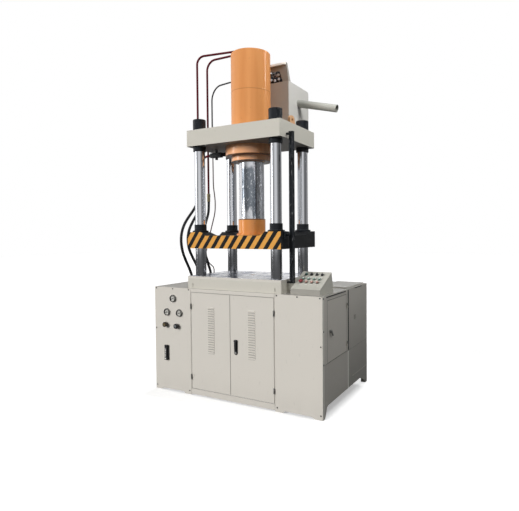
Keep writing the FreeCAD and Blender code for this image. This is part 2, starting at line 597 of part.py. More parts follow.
def table_plate():
    """Ground table: a grid of tapped holes for dies, the ejector hole and column holes."""
    body = upright_fillet(box(-BED_HALF_X, -BED_HALF_Y, BED_TOP - TABLE_PLATE, BED_HALF_X, BED_HALF_Y, BED_TOP), 10)
    tools = [rod(x, y, BED_TOP - 50, COLUMN_R + FIT_SEAT, 100) for x, y in COLUMNS]
    tools.append(rod(0, 0, BED_TOP - 50, EJECTOR_HOLE, 100))
    for x in TABLE_BOLT_X:
        for y in TABLE_BOLT_Y:
            for sx in (-1, 1):
                for sy in (-1, 1):
                    tools.append(rod(sx * x, sy * y, BED_TOP - TABLE_BOLT_DEPTH, TABLE_BOLT_R, 50))
    return body.cut(tools)


def columns():
    """Four chromed columns, chamfered at both ends."""
    c = 4.0
    profile = [(0, COLUMN_BOTTOM), (COLUMN_R - c, COLUMN_BOTTOM), (COLUMN_R, COLUMN_BOTTOM + c),
               (COLUMN_R, COLUMN_TOP - c), (COLUMN_R - c, COLUMN_TOP), (0, COLUMN_TOP)]
    return group([revolve_z(profile, x, y) for x, y in COLUMNS])


def lock_nut(x, y, z0, z1, slots_up):
    """Round nut with chamfered edges and four spanner slots."""
    c = 4.0
    bore = COLUMN_R + FIT_SEAT
    ring = revolve_z([(bore, z0), (NUT_R - c, z0), (NUT_R, z0 + c), (NUT_R, z1 - c), (NUT_R - c, z1), (bore, z1)],
                     x, y)
    if not slots_up:
        return ring
    low = z1 - 30
    cuts = []
    for angle in (45, 135, 225, 315):
        slot = box(NUT_R - 6, -7, low, NUT_R + 6, 7, z1 + 1)
        slot.rotate(V(0, 0, 0), AXIS_Z, angle)
        slot.translate(V(x, y, 0))
        cuts.append(slot)
    return ring.cut(cuts)


def column_nuts():
    nuts = []
    for x, y in COLUMNS:
        nuts.append(lock_nut(x, y, CROWN_TOP, CROWN_TOP + CROWN_NUT_H, True))
        nuts.append(lock_nut(x, y, CROWN_BOTTOM - COLLAR_H, CROWN_BOTTOM, False))
        nuts.append(lock_nut(x, y, BED_BOTTOM - BED_NUT_H, BED_BOTTOM, False))
    return group(nuts)


def crown():
    body = upright_fillet(box(-HEAD_HALF_X, -HEAD_HALF_Y, CROWN_BOTTOM, HEAD_HALF_X, HEAD_HALF_Y, CROWN_TOP), 18)
    tools = [rod(x, y, CROWN_BOTTOM - 1, COLUMN_R + FIT_SEAT, 200) for x, y in COLUMNS]
    tools.append(rod(0, 0, CROWN_BOTTOM - 1, CYL_R + FIT_SEAT, 200))
    return body.cut(tools)


LUG_Y = 121.0               # the right lug stands forward of the cylinder's axis, the left one behind it
LUG_T = 26.0
LUG_H = 76.0
LUG_HOLE_R = 15.0
LUG_HOLE_Z = CROWN_TOP + 36.0


def lifting_lugs():
    """Two lugs on opposite corners of the crown, each clear of the oil lines beside it."""
    lugs = []
    z = CROWN_TOP
    for s in (-1, 1):
        y = -s * LUG_Y
        outline = [(y - 55, z), (y + 55, z), (y + 50, z + 50, 24), (y + 21, z + LUG_H, 17),
                   (y - 21, z + LUG_H, 17), (y - 50, z + 50, 24)]
        low, high = sorted((s * (HEAD_HALF_X - 6.5), s * (HEAD_HALF_X - 6.5 - LUG_T)))
        plate = plate_yz(outline, low, high)
        lugs.append(plate.cut(rod(low - 5, y, LUG_HOLE_Z, LUG_HOLE_R, 2 * LUG_T, AXIS_X)))
    return group(lugs)


# ================================================================ main cylinder and ram
def cylinder_body():
    """Barrel with a closed head, a weld bead between barrel and head and the bore for the piston."""
    seam = HEAD_SEAM
    profile = [(CYL_BORE, CROWN_BOTTOM), (CYL_R, CROWN_BOTTOM), (CYL_R, seam - 5), (CYL_R + 1.5, seam),
               (CYL_R, seam + 5), (CYL_R, CYL_TOP - 4), (CYL_R - 4, CYL_TOP), (0, CYL_TOP),
               (0, CYL_TOP - CYL_HEAD), (CYL_BORE, CYL_TOP - CYL_HEAD)]
    return revolve_z(profile, 0, 0)


GLAND_BOLT_R = 15.0         # socket heads, sunk in the underside of the gland ring
GLAND_BOLT_H = 20.0
GLAND_BOLT_SINK = 1.0
GLAND_BOLT_CIRCLE = (WIPER_R + GLAND_LOW_R) / 2
GLAND_BOLTS = [(GLAND_BOLT_CIRCLE * math.cos(math.radians(15 + 30 * i)),
                GLAND_BOLT_CIRCLE * math.sin(math.radians(15 + 30 * i))) for i in range(12)]


def cylinder_gland():
    """Flange under the crown, gland ring and wiper housing; the ram runs in its bore."""
    bore = RAM_R + FIT_RUNNING
    low = GLAND_BOTTOM - WIPER_H
    profile = [(bore, low), (WIPER_R - 2, low), (WIPER_R, low + 2), (WIPER_R, GLAND_BOTTOM),
               (GLAND_LOW_R - 3, GLAND_BOTTOM), (GLAND_LOW_R, GLAND_BOTTOM + 3), (GLAND_LOW_R, GLAND_STEP),
               (GLAND_R - 5, GLAND_STEP), (GLAND_R, GLAND_STEP + 5), (GLAND_R, CROWN_BOTTOM), (bore, CROWN_BOTTOM)]
    depth = GLAND_BOLT_H + GLAND_BOLT_SINK
    pockets = [rod(x, y, GLAND_BOTTOM - 1, GLAND_BOLT_R + CLEAR, depth + 1) for x, y in GLAND_BOLTS]
    return revolve_z(profile, 0, 0).cut(pockets)


def gland_bolts():
    """Socket screws that hold the gland ring, heads downwards."""
    low = GLAND_BOTTOM + GLAND_BOLT_SINK
    return group([rod(x, y, low, GLAND_BOLT_R, GLAND_BOLT_H).cut(hexagon(x, y, low - 1, 17, 11))
                  for x, y in GLAND_BOLTS])


def ram():
    """Chromed ram with its piston, seated on the platen."""
    low = PLATEN_MID
    profile = [(0, low), (RAM_R - 3, low), (RAM_R, low + 3), (RAM_R, RAM_TOP - PISTON_H),
               (CYL_BORE - FIT_RUNNING, RAM_TOP - PISTON_H), (CYL_BORE - FIT_RUNNING, RAM_TOP - 3),
               (CYL_BORE - 4, RAM_TOP), (0, RAM_TOP)]
    return revolve_z(profile, 0, 0)


RAM_BOLT_CIRCLE = (RAM_COLLAR_R + RAM_FLANGE_R) / 2


def ram_collar():
    """Split collar and flange that hold the ram to the platen, with its bolts."""
    bore = RAM_R + FIT_SEAT
    z = PLATEN_MID
    top = z + RAM_COLLAR_H
    profile = [(bore, z), (RAM_FLANGE_R, z), (RAM_FLANGE_R, z + RAM_FLANGE_H), (RAM_COLLAR_R, z + RAM_FLANGE_H),
               (RAM_COLLAR_R, top - 4), (RAM_COLLAR_R - 4, top), (bore, top)]
    pieces = [revolve_z(profile, 0, 0)]
    for i in range(8):
        angle = math.radians(22.5 + 45 * i)
        x, y = RAM_BOLT_CIRCLE * math.cos(angle), RAM_BOLT_CIRCLE * math.sin(angle)
        pieces.append(hexagon(x, y, z + RAM_FLANGE_H, 13, 8))
    return group(pieces)


PLATEN_BOLTS = ((350.0, 200.0), (200.0, 120.0))
PLATEN_BOLT_R = 8.75
BUSH_SEAT_R = 70.0


def platen():
    """Sliding beam: the corner pads round the columns stand above the middle, with sloped steps."""
    body = upright_fillet(box(-HEAD_HALF_X, -HEAD_HALF_Y, PLATEN_BOTTOM, HEAD_HALF_X, HEAD_HALF_Y, PLATEN_TOP), 6)
    x0, x1 = COLUMN_X - 128, COLUMN_X - 75
    y0, y1 = COLUMN_Y - 115, COLUMN_Y - 60
    low, high = PLATEN_MID, PLATEN_TOP
    along = plate_xz([(-x0, low), (x0, low), (x1, high), (x1, high + 5), (-x1, high + 5), (-x1, high)],
                     -HEAD_HALF_Y - 5, HEAD_HALF_Y + 5)
    across = plate_yz([(-y0, low), (y0, low), (y1, high), (y1, high + 5), (-y1, high + 5), (-y1, high)],
                      -HEAD_HALF_X - 5, HEAD_HALF_X + 5)
    tools = [along, across]
    tools += [rod(x, y, PLATEN_BOTTOM - 1, BUSH_SEAT_R + FIT_SEAT, 200) for x, y in COLUMNS]
    for half_x, half_y in PLATEN_BOLTS:
        for sx in (-1, 1):
            for sy in (-1, 1):
                tools.append(rod(sx * half_x, sy * half_y, PLATEN_BOTTOM - 1, PLATEN_BOLT_R, 41))
    return body.cut(tools)


def guide_bushes():
    """Flanged guide bushes that run on the columns."""
    bore = COLUMN_R + FIT_RUNNING
    z = PLATEN_TOP
    top = z + BUSH_H
    profile = [(bore, PLATEN_BOTTOM + 2), (BUSH_SEAT_R, PLATEN_BOTTOM + 2), (BUSH_SEAT_R, z), (BUSH_FLANGE_R, z),
               (BUSH_FLANGE_R, z + 14), (BUSH_R + 2, z + 16), (BUSH_R, z + 30), (BUSH_R, top - 3),
               (BUSH_R - 3, top), (bore, top)]
    return group([revolve_z(profile, x, y) for x, y in COLUMNS])


RAIL_X = (BED_HALF_X + 28.5, BED_HALF_X + 70.5)
RAIL_Y = (-277.0, -242.0)
STRIKER_Y = (RAIL_Y[0] - 65.0, RAIL_Y[0] - 9.0)


def striker():
    """Bracket on the right side of the platen that trips the limit switches."""
    y0, y1 = STRIKER_Y
    x = HEAD_HALF_X
    low, high = PLATEN_TOP - 72, PLATEN_TOP + 2
    mid = (low + high) / 2
    plate = plate_yz([(y0, low, 6), (y1, low, 6), (y1, high, 6), (y0, high, 6)], x, x + 8)
    finger = plate_xz([(x + 8, mid - 13), (x + 40, mid - 7), (x + 46, mid), (x + 40, mid + 7), (x + 8, mid + 13)],
                      y1 - 14, y1)
    heads = [turned([(0, 0), (6, 0), (6, 5), (0, 5)], V(x + 8, y0 + 15, z), AXIS_X) for z in (mid - 21, mid + 21)]
    return plate.fuse([finger] + heads)


# ================================================================ top tank
TANK_WALL = 5.0
VALVE_Y = 400.0             # opening of the prefill valve in the tank's top
VALVE_BORE = 80.0
GUSSET_X = (-200.0, 188.0)


def top_tank():
    """Prefill tank on the rear of the crown, open at the top for the prefill valve, on two gussets."""
    wall = TANK_WALL
    outer = box(-TANK_HALF_X, TANK_FRONT, CROWN_TOP, TANK_HALF_X, TANK_REAR, TANK_TOP)
    long_edges = [e for e in outer.Edges if e.BoundBox.XLength > 100 and e.BoundBox.YMin > TANK_REAR - 1
                  and e.BoundBox.ZMin > TANK_TOP - 1]
    outer = outer.makeFillet(26, long_edges)
    inner = box(-TANK_HALF_X + wall, TANK_FRONT + wall, CROWN_TOP + wall, TANK_HALF_X - wall, TANK_REAR - wall,
                TANK_TOP - wall - 20)
    tank = outer.cut(inner)
    tank = tank.cut(rod(0, VALVE_Y, TANK_TOP - 60, VALVE_BORE, 100))
    start, axis = breather_axis()
    tank = tank.cut(Part.makeCylinder(BREATHER_BORE, 60, start - axis * 30, axis))
    pieces = [tank]
    low = CROWN_BOTTOM + 20
    end = TANK_REAR - 40
    for x in GUSSET_X:
        gusset = plate_yz([(HEAD_HALF_Y, CROWN_TOP), (HEAD_HALF_Y, low), (HEAD_HALF_Y + 40, low),
                           (end, CROWN_TOP - 40, 30), (end, CROWN_TOP)], x, x + 12)
        pieces.append(gusset)
    return group(pieces)


HOOD_WINDOW_H = 116.0


def tank_hood():
    """Folded sheet guard over the prefill valve: open window in front, tapered wings, rolled lip."""
    t = SHEET
    y0 = TANK_FRONT
    half_low, half_top = TANK_HALF_X, TANK_HALF_X - 28
    z0, z1 = TANK_TOP, HOOD_TOP
    front = plate_xz([(-half_low, z0), (half_low, z0), (half_top, z1, 8), (-half_top, z1, 8)], y0, y0 + t)
    a, b, c = half_low - 68, half_low - 72, half_low - 108
    window = plate_xz([(-a, z0 - 5), (a, z0 - 5), (b, z0 + 20), (c, z0 + HOOD_WINDOW_H, 10),
                       (-c, z0 + HOOD_WINDOW_H, 10), (-b, z0 + 20)], y0 - 5, y0 + 10)
    front = front.cut(window)
    pieces = [front]
    for s in (-1, 1):
        base = [V(s * half_low, y0, z0), V(s * half_low, y0 + 46, z0), V(s * half_top, y0 + 30, z1 - 4),
                V(s * half_top, y0, z1 - 4)]
        wing = Part.Face(Part.makePolygon(base + base[:1])).extrude(V(-s * t, 0, 0))
        pieces.append(wing)
    lip = plate_yz([(y0, z1 - 5), (y0 + 30, z1 - 5), (y0 + 30, z1 - 2, 2), (y0 + 4, z1 + 3, 2), (y0 - 6, z1, 2.5),
                    (y0 - 6, z1 - 5, 2)], -half_top, half_top)
    pieces.append(lip)
    return pieces[0].fuse(pieces[1:]).removeSplitter()


DUCT_R = 45.0
DUCT_Z = TANK_TOP + 70.0
VALVE_H = 132.0
PILOT_BLOCK_H = 62.0
SPOOL_H = 46.0
THROTTLE_H = 34.0


def prefill_valve():
    """Prefill valve on the tank, its duct to the cylinder head and the pilot valves on its block."""
    front = TANK_FRONT + 72
    duct = rod(0, CYL_R - 1.0, DUCT_Z, DUCT_R, front + 46 - CYL_R, AXIS_Y)
    duct = duct.cut(rod(0, 0, DUCT_Z - 2 * DUCT_R, CYL_R + FIT_SEAT, 4 * DUCT_R))
    flange = rod(0, front - 35, DUCT_Z, DUCT_R + 21, 16, AXIS_Y)
    body = upright_fillet(box(-90, front, TANK_TOP, 90, front + 180, TANK_TOP + VALVE_H), 14)
    cap = turned([(0, 0), (62, 0), (62, 18), (52, 26), (0, 26)], V(0, front + 90, TANK_TOP + VALVE_H), AXIS_Z)
    y, top = TANK_FRONT + 44, TANK_TOP + PILOT_BLOCK_H
    block = upright_fillet(box(92, y, TANK_TOP, 240, y + 90, top), 6)
    spool = upright_fillet(box(94, y + 8, top, 230, y + 82, top + SPOOL_H), 4)
    throttle = upright_fillet(box(94, y + 12, top + SPOOL_H, 222, y + 78, top + SPOOL_H + THROTTLE_H), 4)
    body = body.fuse([duct, flange, cap])
    coil_profile = [(0, 0), (19, 0), (19, 26), (9, 29), (9, 34), (0, 34)]
    coils = [turned(coil_profile, V(x, y, z), V(0, -1, 0)) for x, z in
             ((118, top - 24), (163, top - 34), (210, top - 26))]
    coils.append(turned(coil_profile, V(204, y + 8, top + SPOOL_H / 2), V(0, -1, 0)))
    coils.append(hexagon(160, y + 45, top + SPOOL_H + THROTTLE_H, 30, 16))
    stack = block.fuse([spool, throttle] + coils)
    sleeve = rod(90, y + 58, top - 30, 14, 2, AXIS_X)
    return group([body, stack.fuse([sleeve]), stack.mirror(V(0, 0, 0), AXIS_X)])


BREATHER_Y = 451.0
BREATHER_LEVEL = 0.6565     # height of the overflow on the tank's side, 0 at its foot and 1 at its top
BREATHER_Z = CROWN_TOP + BREATHER_LEVEL * (TANK_TOP - CROWN_TOP)
BREATHER_R = 39.5
BREATHER_BORE = 35.5
BREATHER_SLOPE = 14.0
BREATHER_LENGTH = 462.0


def breather_axis():
    """Where the overflow stub leaves the side of the tank, and its direction."""
    slope = math.radians(BREATHER_SLOPE)
    return V(TANK_HALF_X, BREATHER_Y, BREATHER_Z), V(math.cos(slope), 0, -math.sin(slope))


def breather_tube():
    """Overflow stub on the right side of the tank, sloping down to its open end."""
    start, axis = breather_axis()
    outer = Part.makeCylinder(BREATHER_R, BREATHER_LENGTH + 20, start - axis * 20, axis)
    inner = Part.makeCylinder(BREATHER_BORE, BREATHER_LENGTH + 60, start - axis * 30, axis)
    stub = outer.cut(inner)
    return stub.cut(box(0, TANK_FRONT, CROWN_TOP, TANK_HALF_X, TANK_REAR, TANK_TOP))


# ================================================================ pipework on the left
LINE_A_Y = -125.0
LINE_B_Y = 50.0
LINE_C = (PIPE_PLANE - 40.0, 185.0)
LINE_D_Y = -65.0
PORT_HOLE_R = 20.0
HOSE_R = 14.0
PILOT_R = 6.0
HOSE_PORTS = [(PIPE_PLANE, -248.0, HOSE_R), (PIPE_PLANE, -114.0, HOSE_R), (PIPE_PLANE, 78.0, HOSE_R),
              (LINE_C[0], LINE_C[1] + 3.0, PILOT_R)]
FERRULE_H = 30.0
HOSE_FOOT = BASE_TOP + FERRULE_H


def oil_pipes():
    """Rigid lines from the cylinder head and gland down the left side."""
    return group([line_a(), line_b(), line_d()])


LINE_A_END = 2190.0
LINE_B_END = 2080.0
LINE_D_END = 2160.0
HEAD_PORT_A = (-50.0, -30.0)
HEAD_PORT_B = (-50.0, LINE_B_Y)
LINE_A_TOP = CYL_TOP + 51.0
LINE_B_TOP = CYL_TOP + 59.0
SIDE_PORT = V(-183, 103, CYL_TOP - 213)
SIDE_PORT_TURN = SIDE_PORT + V(-147, 9, 18)
LINE_D_Z = CROWN_BOTTOM - 56.0
CLAMP_Z = (CROWN_BOTTOM + 64.0, CROWN_BOTTOM + 104.0)


def bent_line(points, bends, radius):
    """Rigid tube: straight runs joined by arcs of the stated bend radii."""
    points = [V(*p) for p in points]
    edges = []
    last = points[0]
    for i, bend in enumerate(bends, start=1):
        before, point, after = points[i - 1], points[i], points[i + 1]
        u = (before - point).normalize()
        w = (after - point).normalize()
        half_turn = (math.pi - u.getAngle(w)) / 2
        run = bend * math.tan(half_turn)
        bisector = (u + w).normalize()
        centre = point + bisector * math.hypot(bend, run)
        edges.append(Part.LineSegment(last, point + u * run).toShape())
        edges.append(Part.Arc(point + u * run, centre - bisector * bend, point + w * run).toShape())
        last = point + w * run
    edges.append(Part.LineSegment(last, points[-1]).toShape())
    path = Part.Wire(edges)
    section = Part.Wire(Part.makeCircle(radius, points[0], points[1] - points[0]))
    return path.makePipeShell([section], True, False)


def line_a():
    x, y = HEAD_PORT_A
    return bent_line([(x, y, CYL_TOP + 2), (x, y, LINE_A_TOP), (PIPE_PLANE, LINE_A_Y, LINE_A_TOP),
                      (PIPE_PLANE, LINE_A_Y, LINE_A_END)], (32, 85), PIPE_R)


def line_b():
    x, y = HEAD_PORT_B
    return bent_line([(x, y, CYL_TOP + 2), (x, y, LINE_B_TOP), (PIPE_PLANE, LINE_B_Y, LINE_B_TOP),
                      (PIPE_PLANE, LINE_B_Y, LINE_B_END)], (35, 110), PIPE_R)


PILOT_BOW = ((8.0, 2200.0), (41.0, 2050.0), (37.0, 1905.0), (-65.0, 1660.0), (-147.0, 1440.0), (-93.0, 1330.0),
             (3.0, 1270.0))
PILOT_BENDS = (300, 150, 600, 500, 330, 800, 95, 90, 60)


def pilot_line():
    """Thin line from the side of the cylinder down to the cabinet, bowed between its clamps."""
    x, y = LINE_C
    top = [tuple(SIDE_PORT), tuple(SIDE_PORT_TURN), (x, y, SIDE_PORT_TURN.z + 6)]
    bow = [(x, y + dy, z) for dy, z in PILOT_BOW]
    return bent_line(top + bow + [(x, y + PILOT_BOW[-1][0], BASE_TOP + 12)], PILOT_BENDS, PILOT_R)


def line_d():
    """Rod-side line: from the gland flange through the check valve to the left."""
    return bent_line([(-GLAND_R - 8, LINE_D_Y, LINE_D_Z), (PIPE_PLANE, LINE_D_Y, LINE_D_Z),
                      (PIPE_PLANE, LINE_D_Y, LINE_D_END)], (85,), PIPE_R)


def drilled(shape, x, y, z, radius, length, axis=AXIS_Z):
    return shape.cut(rod(x, y, z, radius, length, axis))


def pipe_fittings():
    """Unions on the cylinder, check valve, hose couplings, clamps on the crown and cabinet glands."""
    bore = PIPE_R + FIT_SEAT
    pieces = [tube(x, y, CYL_TOP, 17, bore, 12) for x, y in (HEAD_PORT_A, HEAD_PORT_B)]
    along = (SIDE_PORT_TURN - SIDE_PORT).normalize()
    union = Part.makeCylinder(12, 34, SIDE_PORT - along * 16, along)
    union = union.cut(Part.makeCylinder(PILOT_R + FIT_SEAT, 60, SIDE_PORT, along))
    pieces.append(union.cut(rod(0, 0, SIDE_PORT.z - 100, CYL_R, 200)))
    y, z = LINE_D_Y, LINE_D_Z
    valve = upright_fillet(box(-470, y - 24, z - 24, -330, y + 24, z + 24), 5)
    valve = valve.fuse([rod(-486, y, z, 19, 172, AXIS_X), rod(-400, y, z - 48, 15, 24),
                        box(-410, y - 8, z + 24, -390, y + 8, CROWN_BOTTOM)])
    pieces.append(drilled(valve, -520, y, z, bore, 300, AXIS_X))
    port = rod(-GLAND_R - 28, y, z, 20, 60, AXIS_X).cut(rod(0, 0, GLAND_STEP, GLAND_R, GLAND_FLANGE_H))
    pieces.append(drilled(port, -400, y, z, bore, 392 - GLAND_R, AXIS_X))
    for y, end in ((LINE_A_Y, LINE_A_END), (LINE_B_Y, LINE_B_END), (LINE_D_Y, LINE_D_END)):
        nut = drilled(rod(PIPE_PLANE, y, end - 10, 19, 34), PIPE_PLANE, y, end, bore, 40)
        pieces.append(nut.fuse(rod(PIPE_PLANE, y, end - COUPLING_H, 17.5, COUPLING_H - 10)))
    bar = box(PIPE_PLANE - 62, LINE_A_Y - 35, CLAMP_Z[0], -HEAD_HALF_X, LINE_C[1] + 30, CLAMP_Z[1])
    for y in (LINE_A_Y, LINE_B_Y):
        bar = drilled(bar, PIPE_PLANE, y, CLAMP_Z[0] - 20, bore, 80)
    pieces.append(drilled(bar, LINE_C[0], LINE_C[1] + 4.8, CLAMP_Z[0] - 20, PILOT_R + CLEAR, 80))
    for x, y, radius in HOSE_PORTS:
        gland = rod(x, y, BASE_TOP - 12, PORT_HOLE_R - FIT_SEAT, 12).fuse(hexagon(x, y, BASE_TOP, 46, 12))
        if radius > PILOT_R:
            gland = gland.fuse(rod(x, y, BASE_TOP + 12, 17.5, FERRULE_H - 12))
        pieces.append(gland)
    return group(pieces)


COUPLING_H = 62.0


def hose(points, name):
    return swept([(PIPE_PLANE, y, z) for y, z in points], HOSE_R, name)


HOSE_OUTER = [(LINE_A_Y, LINE_A_END - COUPLING_H), (LINE_A_Y, 2070), (-152, 1992), (-218, 1912), (-300, 1838),
              (-385, 1745), (-428, 1630), (-415, 1500), (-355, 1380), (-300, 1298), (-261, 1222), (-248, 1170),
              (-248, HOSE_FOOT)]
HOSE_INNER = [(LINE_D_Y, LINE_D_END - COUPLING_H), (LINE_D_Y, 2040), (-92, 1960), (-150, 1885), (-225, 1800),
              (-295, 1710), (-323, 1605), (-300, 1495), (-240, 1405), (-180, 1325), (-135, 1255), (-114, 1185),
              (-114, HOSE_FOOT)]
HOSE_RETURN = [(LINE_B_Y, LINE_B_END - COUPLING_H), (LINE_B_Y, 1960), (42, 1890), (12, 1824), (-25, 1745),
               (-45, 1655), (-49, 1560), (-37, 1468), (-7, 1382), (33, 1307), (65, 1245), (78, 1182),
               (78, HOSE_FOOT)]


def hose_outer():
    return hose(HOSE_OUTER, "outer hose")


def hose_inner():
    return hose(HOSE_INNER, "inner hose")


def hose_return():
    return hose(HOSE_RETURN, "return hose")


# ================================================================ limit switches
SWITCH_Z = (2355.0, 1400.0)
RAIL_Z = (BED_TOP - 37.0, CROWN_BOTTOM + 56.0)


def switch_rail():
    """Black square bar beside the columns with its two brackets, scale strip and limit switches."""
    x0, x1 = RAIL_X
    y0, y1 = RAIL_Y
    z0, z1 = RAIL_Z
    bar = box(x0, y0, z0, x1, y1, z1)
    middle_x = (x0 + x1) / 2
    middle_y = (y0 + y1) / 2
    bar = bar.cut([box(middle_x - 4, y0 - 1, z0 - 1, middle_x + 4, y0 + 6, z1 + 1),
                   box(x1 - 6, middle_y - 4, z0 - 1, x1 + 1, middle_y + 4, z1 + 1)])
    pieces = [bar]
    pieces.append(box(HEAD_HALF_X, y0 + 4, z1 - 28, x0, y1 - 4, z1 - 10))
    pieces.append(box(BED_HALF_X, y0 + 4, z0 + 2, x0, y1 - 4, z0 + 16))
    for z in SWITCH_Z:
        case = upright_fillet(box(x1 - 22, y0 - 20, z, x1 - 2, y0, z + 52), 3)
        arm = box(x1 - 18, y0 - 14, z - 16, x1 - 12, y0 - 8, z)
        roller = rod(x1 - 17, y0 - 19, z - 16, 7, 14, AXIS_Y)
        pieces.append(case.fuse([arm, roller]))
    return group(pieces)


# ================================================================ control desk
DESK_W = 297.0
DESK_X = (RAIL_X[1] + 1.0, RAIL_X[1] + 1.0 + DESK_W)
DESK_FRONT = BASE_FRONT + 75.0
DESK_REAR = DESK_FRONT + 318.0
DESK_CREST = DESK_REAR - 42.0
DESK_FRONT_H = 49.0
DESK_REAR_H = 188.0
DESK_SHEET = 2.0
DESK_SLOPE = math.atan2(DESK_REAR_H - DESK_FRONT_H, DESK_CREST - DESK_FRONT)
DESK_NORMAL = V(0, -math.sin(DESK_SLOPE), math.cos(DESK_SLOPE))
DESK_UP = V(0, math.cos(DESK_SLOPE), math.sin(DESK_SLOPE))
BUTTON_PITCH = 55.0
BUTTON_X = [DESK_X[0] + 62.0 + BUTTON_PITCH * i for i in range(4)]
ROW_SELECTOR = 246.0
ROW_START = 169.0
ROW_STOP = 112.0
STEM_R = 6.0
BEZEL_R = 17.0
BEZEL_H = 6.0


def on_desk(x, row, height=0.0):
    """Point on the sloped panel: across, up the slope and off its face."""
    return V(x, DESK_FRONT, BASE_TOP + DESK_FRONT_H) + DESK_UP * row + DESK_NORMAL * height


def console():
    """Sloped desk of bent sheet with the fixed rings of its buttons and switches."""
    t = DESK_SHEET
    x0, x1 = DESK_X
    outline = [(DESK_FRONT, BASE_TOP), (DESK_REAR, BASE_TOP), (DESK_CREST, BASE_TOP + DESK_REAR_H),
               (DESK_FRONT, BASE_TOP + DESK_FRONT_H)]
    outer = plate_yz(outline, x0, x1)
    down = t / math.cos(DESK_SLOPE)
    inside = [(DESK_FRONT + t, BASE_TOP - 1), (DESK_REAR - t, BASE_TOP - 1),
              (DESK_CREST - t, BASE_TOP + DESK_REAR_H - down - 1), (DESK_FRONT + t, BASE_TOP + DESK_FRONT_H - down + 1)]
    shell = outer.cut(plate_yz(inside, x0 + t, x1 - t))
    rings = []
    holes = []
    spots = [(x, ROW_SELECTOR) for x in BUTTON_X] + [(x, ROW_START) for x in BUTTON_X]
    spots += [(x, ROW_STOP) for x in BUTTON_X]
    for x, row in spots:
        rings.append(Part.makeCylinder(BEZEL_R, BEZEL_H, on_desk(x, row, -0.5), DESK_NORMAL))
        holes.append(Part.makeCylinder(STEM_R + CLEAR, 60, on_desk(x, row, -30), DESK_NORMAL))
    return shell.fuse(rings).cut(holes).removeSplitter()


def selector(x):
    """Rotary switch: round skirt with a grip bar."""
    base = BEZEL_H - 0.5 + CLEAR
    face = on_desk(x, ROW_SELECTOR, base)
    skirt = turned([(0, 0), (15, 0), (14, 7), (0, 7)], face, DESK_NORMAL)
    stem = Part.makeCylinder(STEM_R, 22, on_desk(x, ROW_SELECTOR, base - 22), DESK_NORMAL)
    bar = face_from([(V(x - 4.5, 0, 0) - AXIS_Y * 14, 4), (V(x + 4.5, 0, 0) - AXIS_Y * 14, 4),
                     (V(x + 4.5, 0, 0) + AXIS_Y * 15, 2), (V(x - 4.5, 0, 0) + AXIS_Y * 15, 2)]).extrude(V(0, 0, 17))
    bar.rotate(V(x, 0, 0), AXIS_X, math.degrees(DESK_SLOPE))
    bar.translate(on_desk(x, ROW_SELECTOR, base) - V(x, 0, 0))
    return skirt.fuse([stem, bar]).removeSplitter()


def button(x, row, profile):
    stem = Part.makeCylinder(STEM_R, 26, on_desk(x, row, BEZEL_H + 3.5 - 26), DESK_NORMAL)
    cap = turned(profile, on_desk(x, row, BEZEL_H + 3.5), DESK_NORMAL)
    return cap.fuse(stem).removeSplitter()


FLAT_CAP = [(0, 0), (13, 0), (13, 7), (11, 9), (0, 9)]
MUSHROOM = [(0, 0), (12, 0), (21, 8), (21, 13), (15, 18), (0, 19)]


# ================================================================ hydraulic panel
GAUGE_R = 40.0
DIAL_R = 30.0
SPINDLE_R = 2.0


def gauges():
    """Pressure gauges: flanged cases with recessed dials."""
    cases = []
    for x, z in GAUGES:
        case = turned([(0, 0), (GAUGE_R, 0), (GAUGE_R, 3), (36, 5), (36, 16), (33, 18), (DIAL_R, 18), (DIAL_R, 8),
                       (0, 8)], V(x, BASE_FRONT, z), V(0, -1, 0))
        spindle = rod(x, BASE_FRONT - 14, z, SPINDLE_R, 7, AXIS_Y)
        cases.append(case.fuse(spindle))
    return group(cases)


def needle(x, z, angle):
    """Needle on the dial's spindle; the angle is from straight up, clockwise seen from the front."""
    y = BASE_FRONT - 13
    blade = plate_xz([(-2.4, -8), (2.4, -8), (0.7, 25), (-0.7, 25)], 0, 1.2)
    hub = rod(0, -1, 0, 5, 2.4, AXIS_Y)
    piece = blade.fuse(hub).cut(rod(0, -10, 0, SPINDLE_R + FIT_RUNNING, 20, AXIS_Y))
    piece.rotate(V(0, 0, 0), AXIS_Y, angle)
    piece.translate(V(x, y, z))
    return piece


def valve_knob(x, z):
    """Fluted hand knob of a throttle valve on its stem."""
    stem = rod(x, BASE_FRONT - 20, z, KNOB_STEM_R, 34, AXIS_Y)
    cap = turned([(0, 0), (17, 0), (17, 6), (27, 10), (27, 30), (23, 34), (0, 34)], V(x, BASE_FRONT - CLEAR - 1, z),
                 V(0, -1, 0))
    flutes = []
    for i in range(8):
        angle = math.radians(45 * i)
        flutes.append(rod(x + 30 * math.cos(angle), BASE_FRONT - 40, z + 30 * math.sin(angle), 7, 32, AXIS_Y))
    return cap.cut(flutes).fuse(stem).removeSplitter()


def oil_level_gauge():
    """Level gauge with a clear column between two end blocks."""
    z0, z1 = LEVEL_Z
    x = LEVEL_X
    back = plate_xz([(x - 20, z0, 8), (x + 20, z0, 8), (x + 20, z1, 8), (x - 20, z1, 8)], BASE_FRONT - 6, BASE_FRONT)
    ends = [box(x - 20, BASE_FRONT - 22, z, x + 20, BASE_FRONT - 6, z + 30) for z in (z0, z1 - 30)]
    ends = [upright_fillet(e, 5) for e in ends]
    column = rod(x, BASE_FRONT - 15, z0 + 28, 8, z1 - z0 - 56)
    caps = [rod(x, BASE_FRONT - 27, z, 8, 6, AXIS_Y) for z in (z0 + 15, z1 - 15)]
    return back.fuse(ends + [column] + caps)


# ================================================================ inside the base
EJECTOR_LENGTH = 490.0


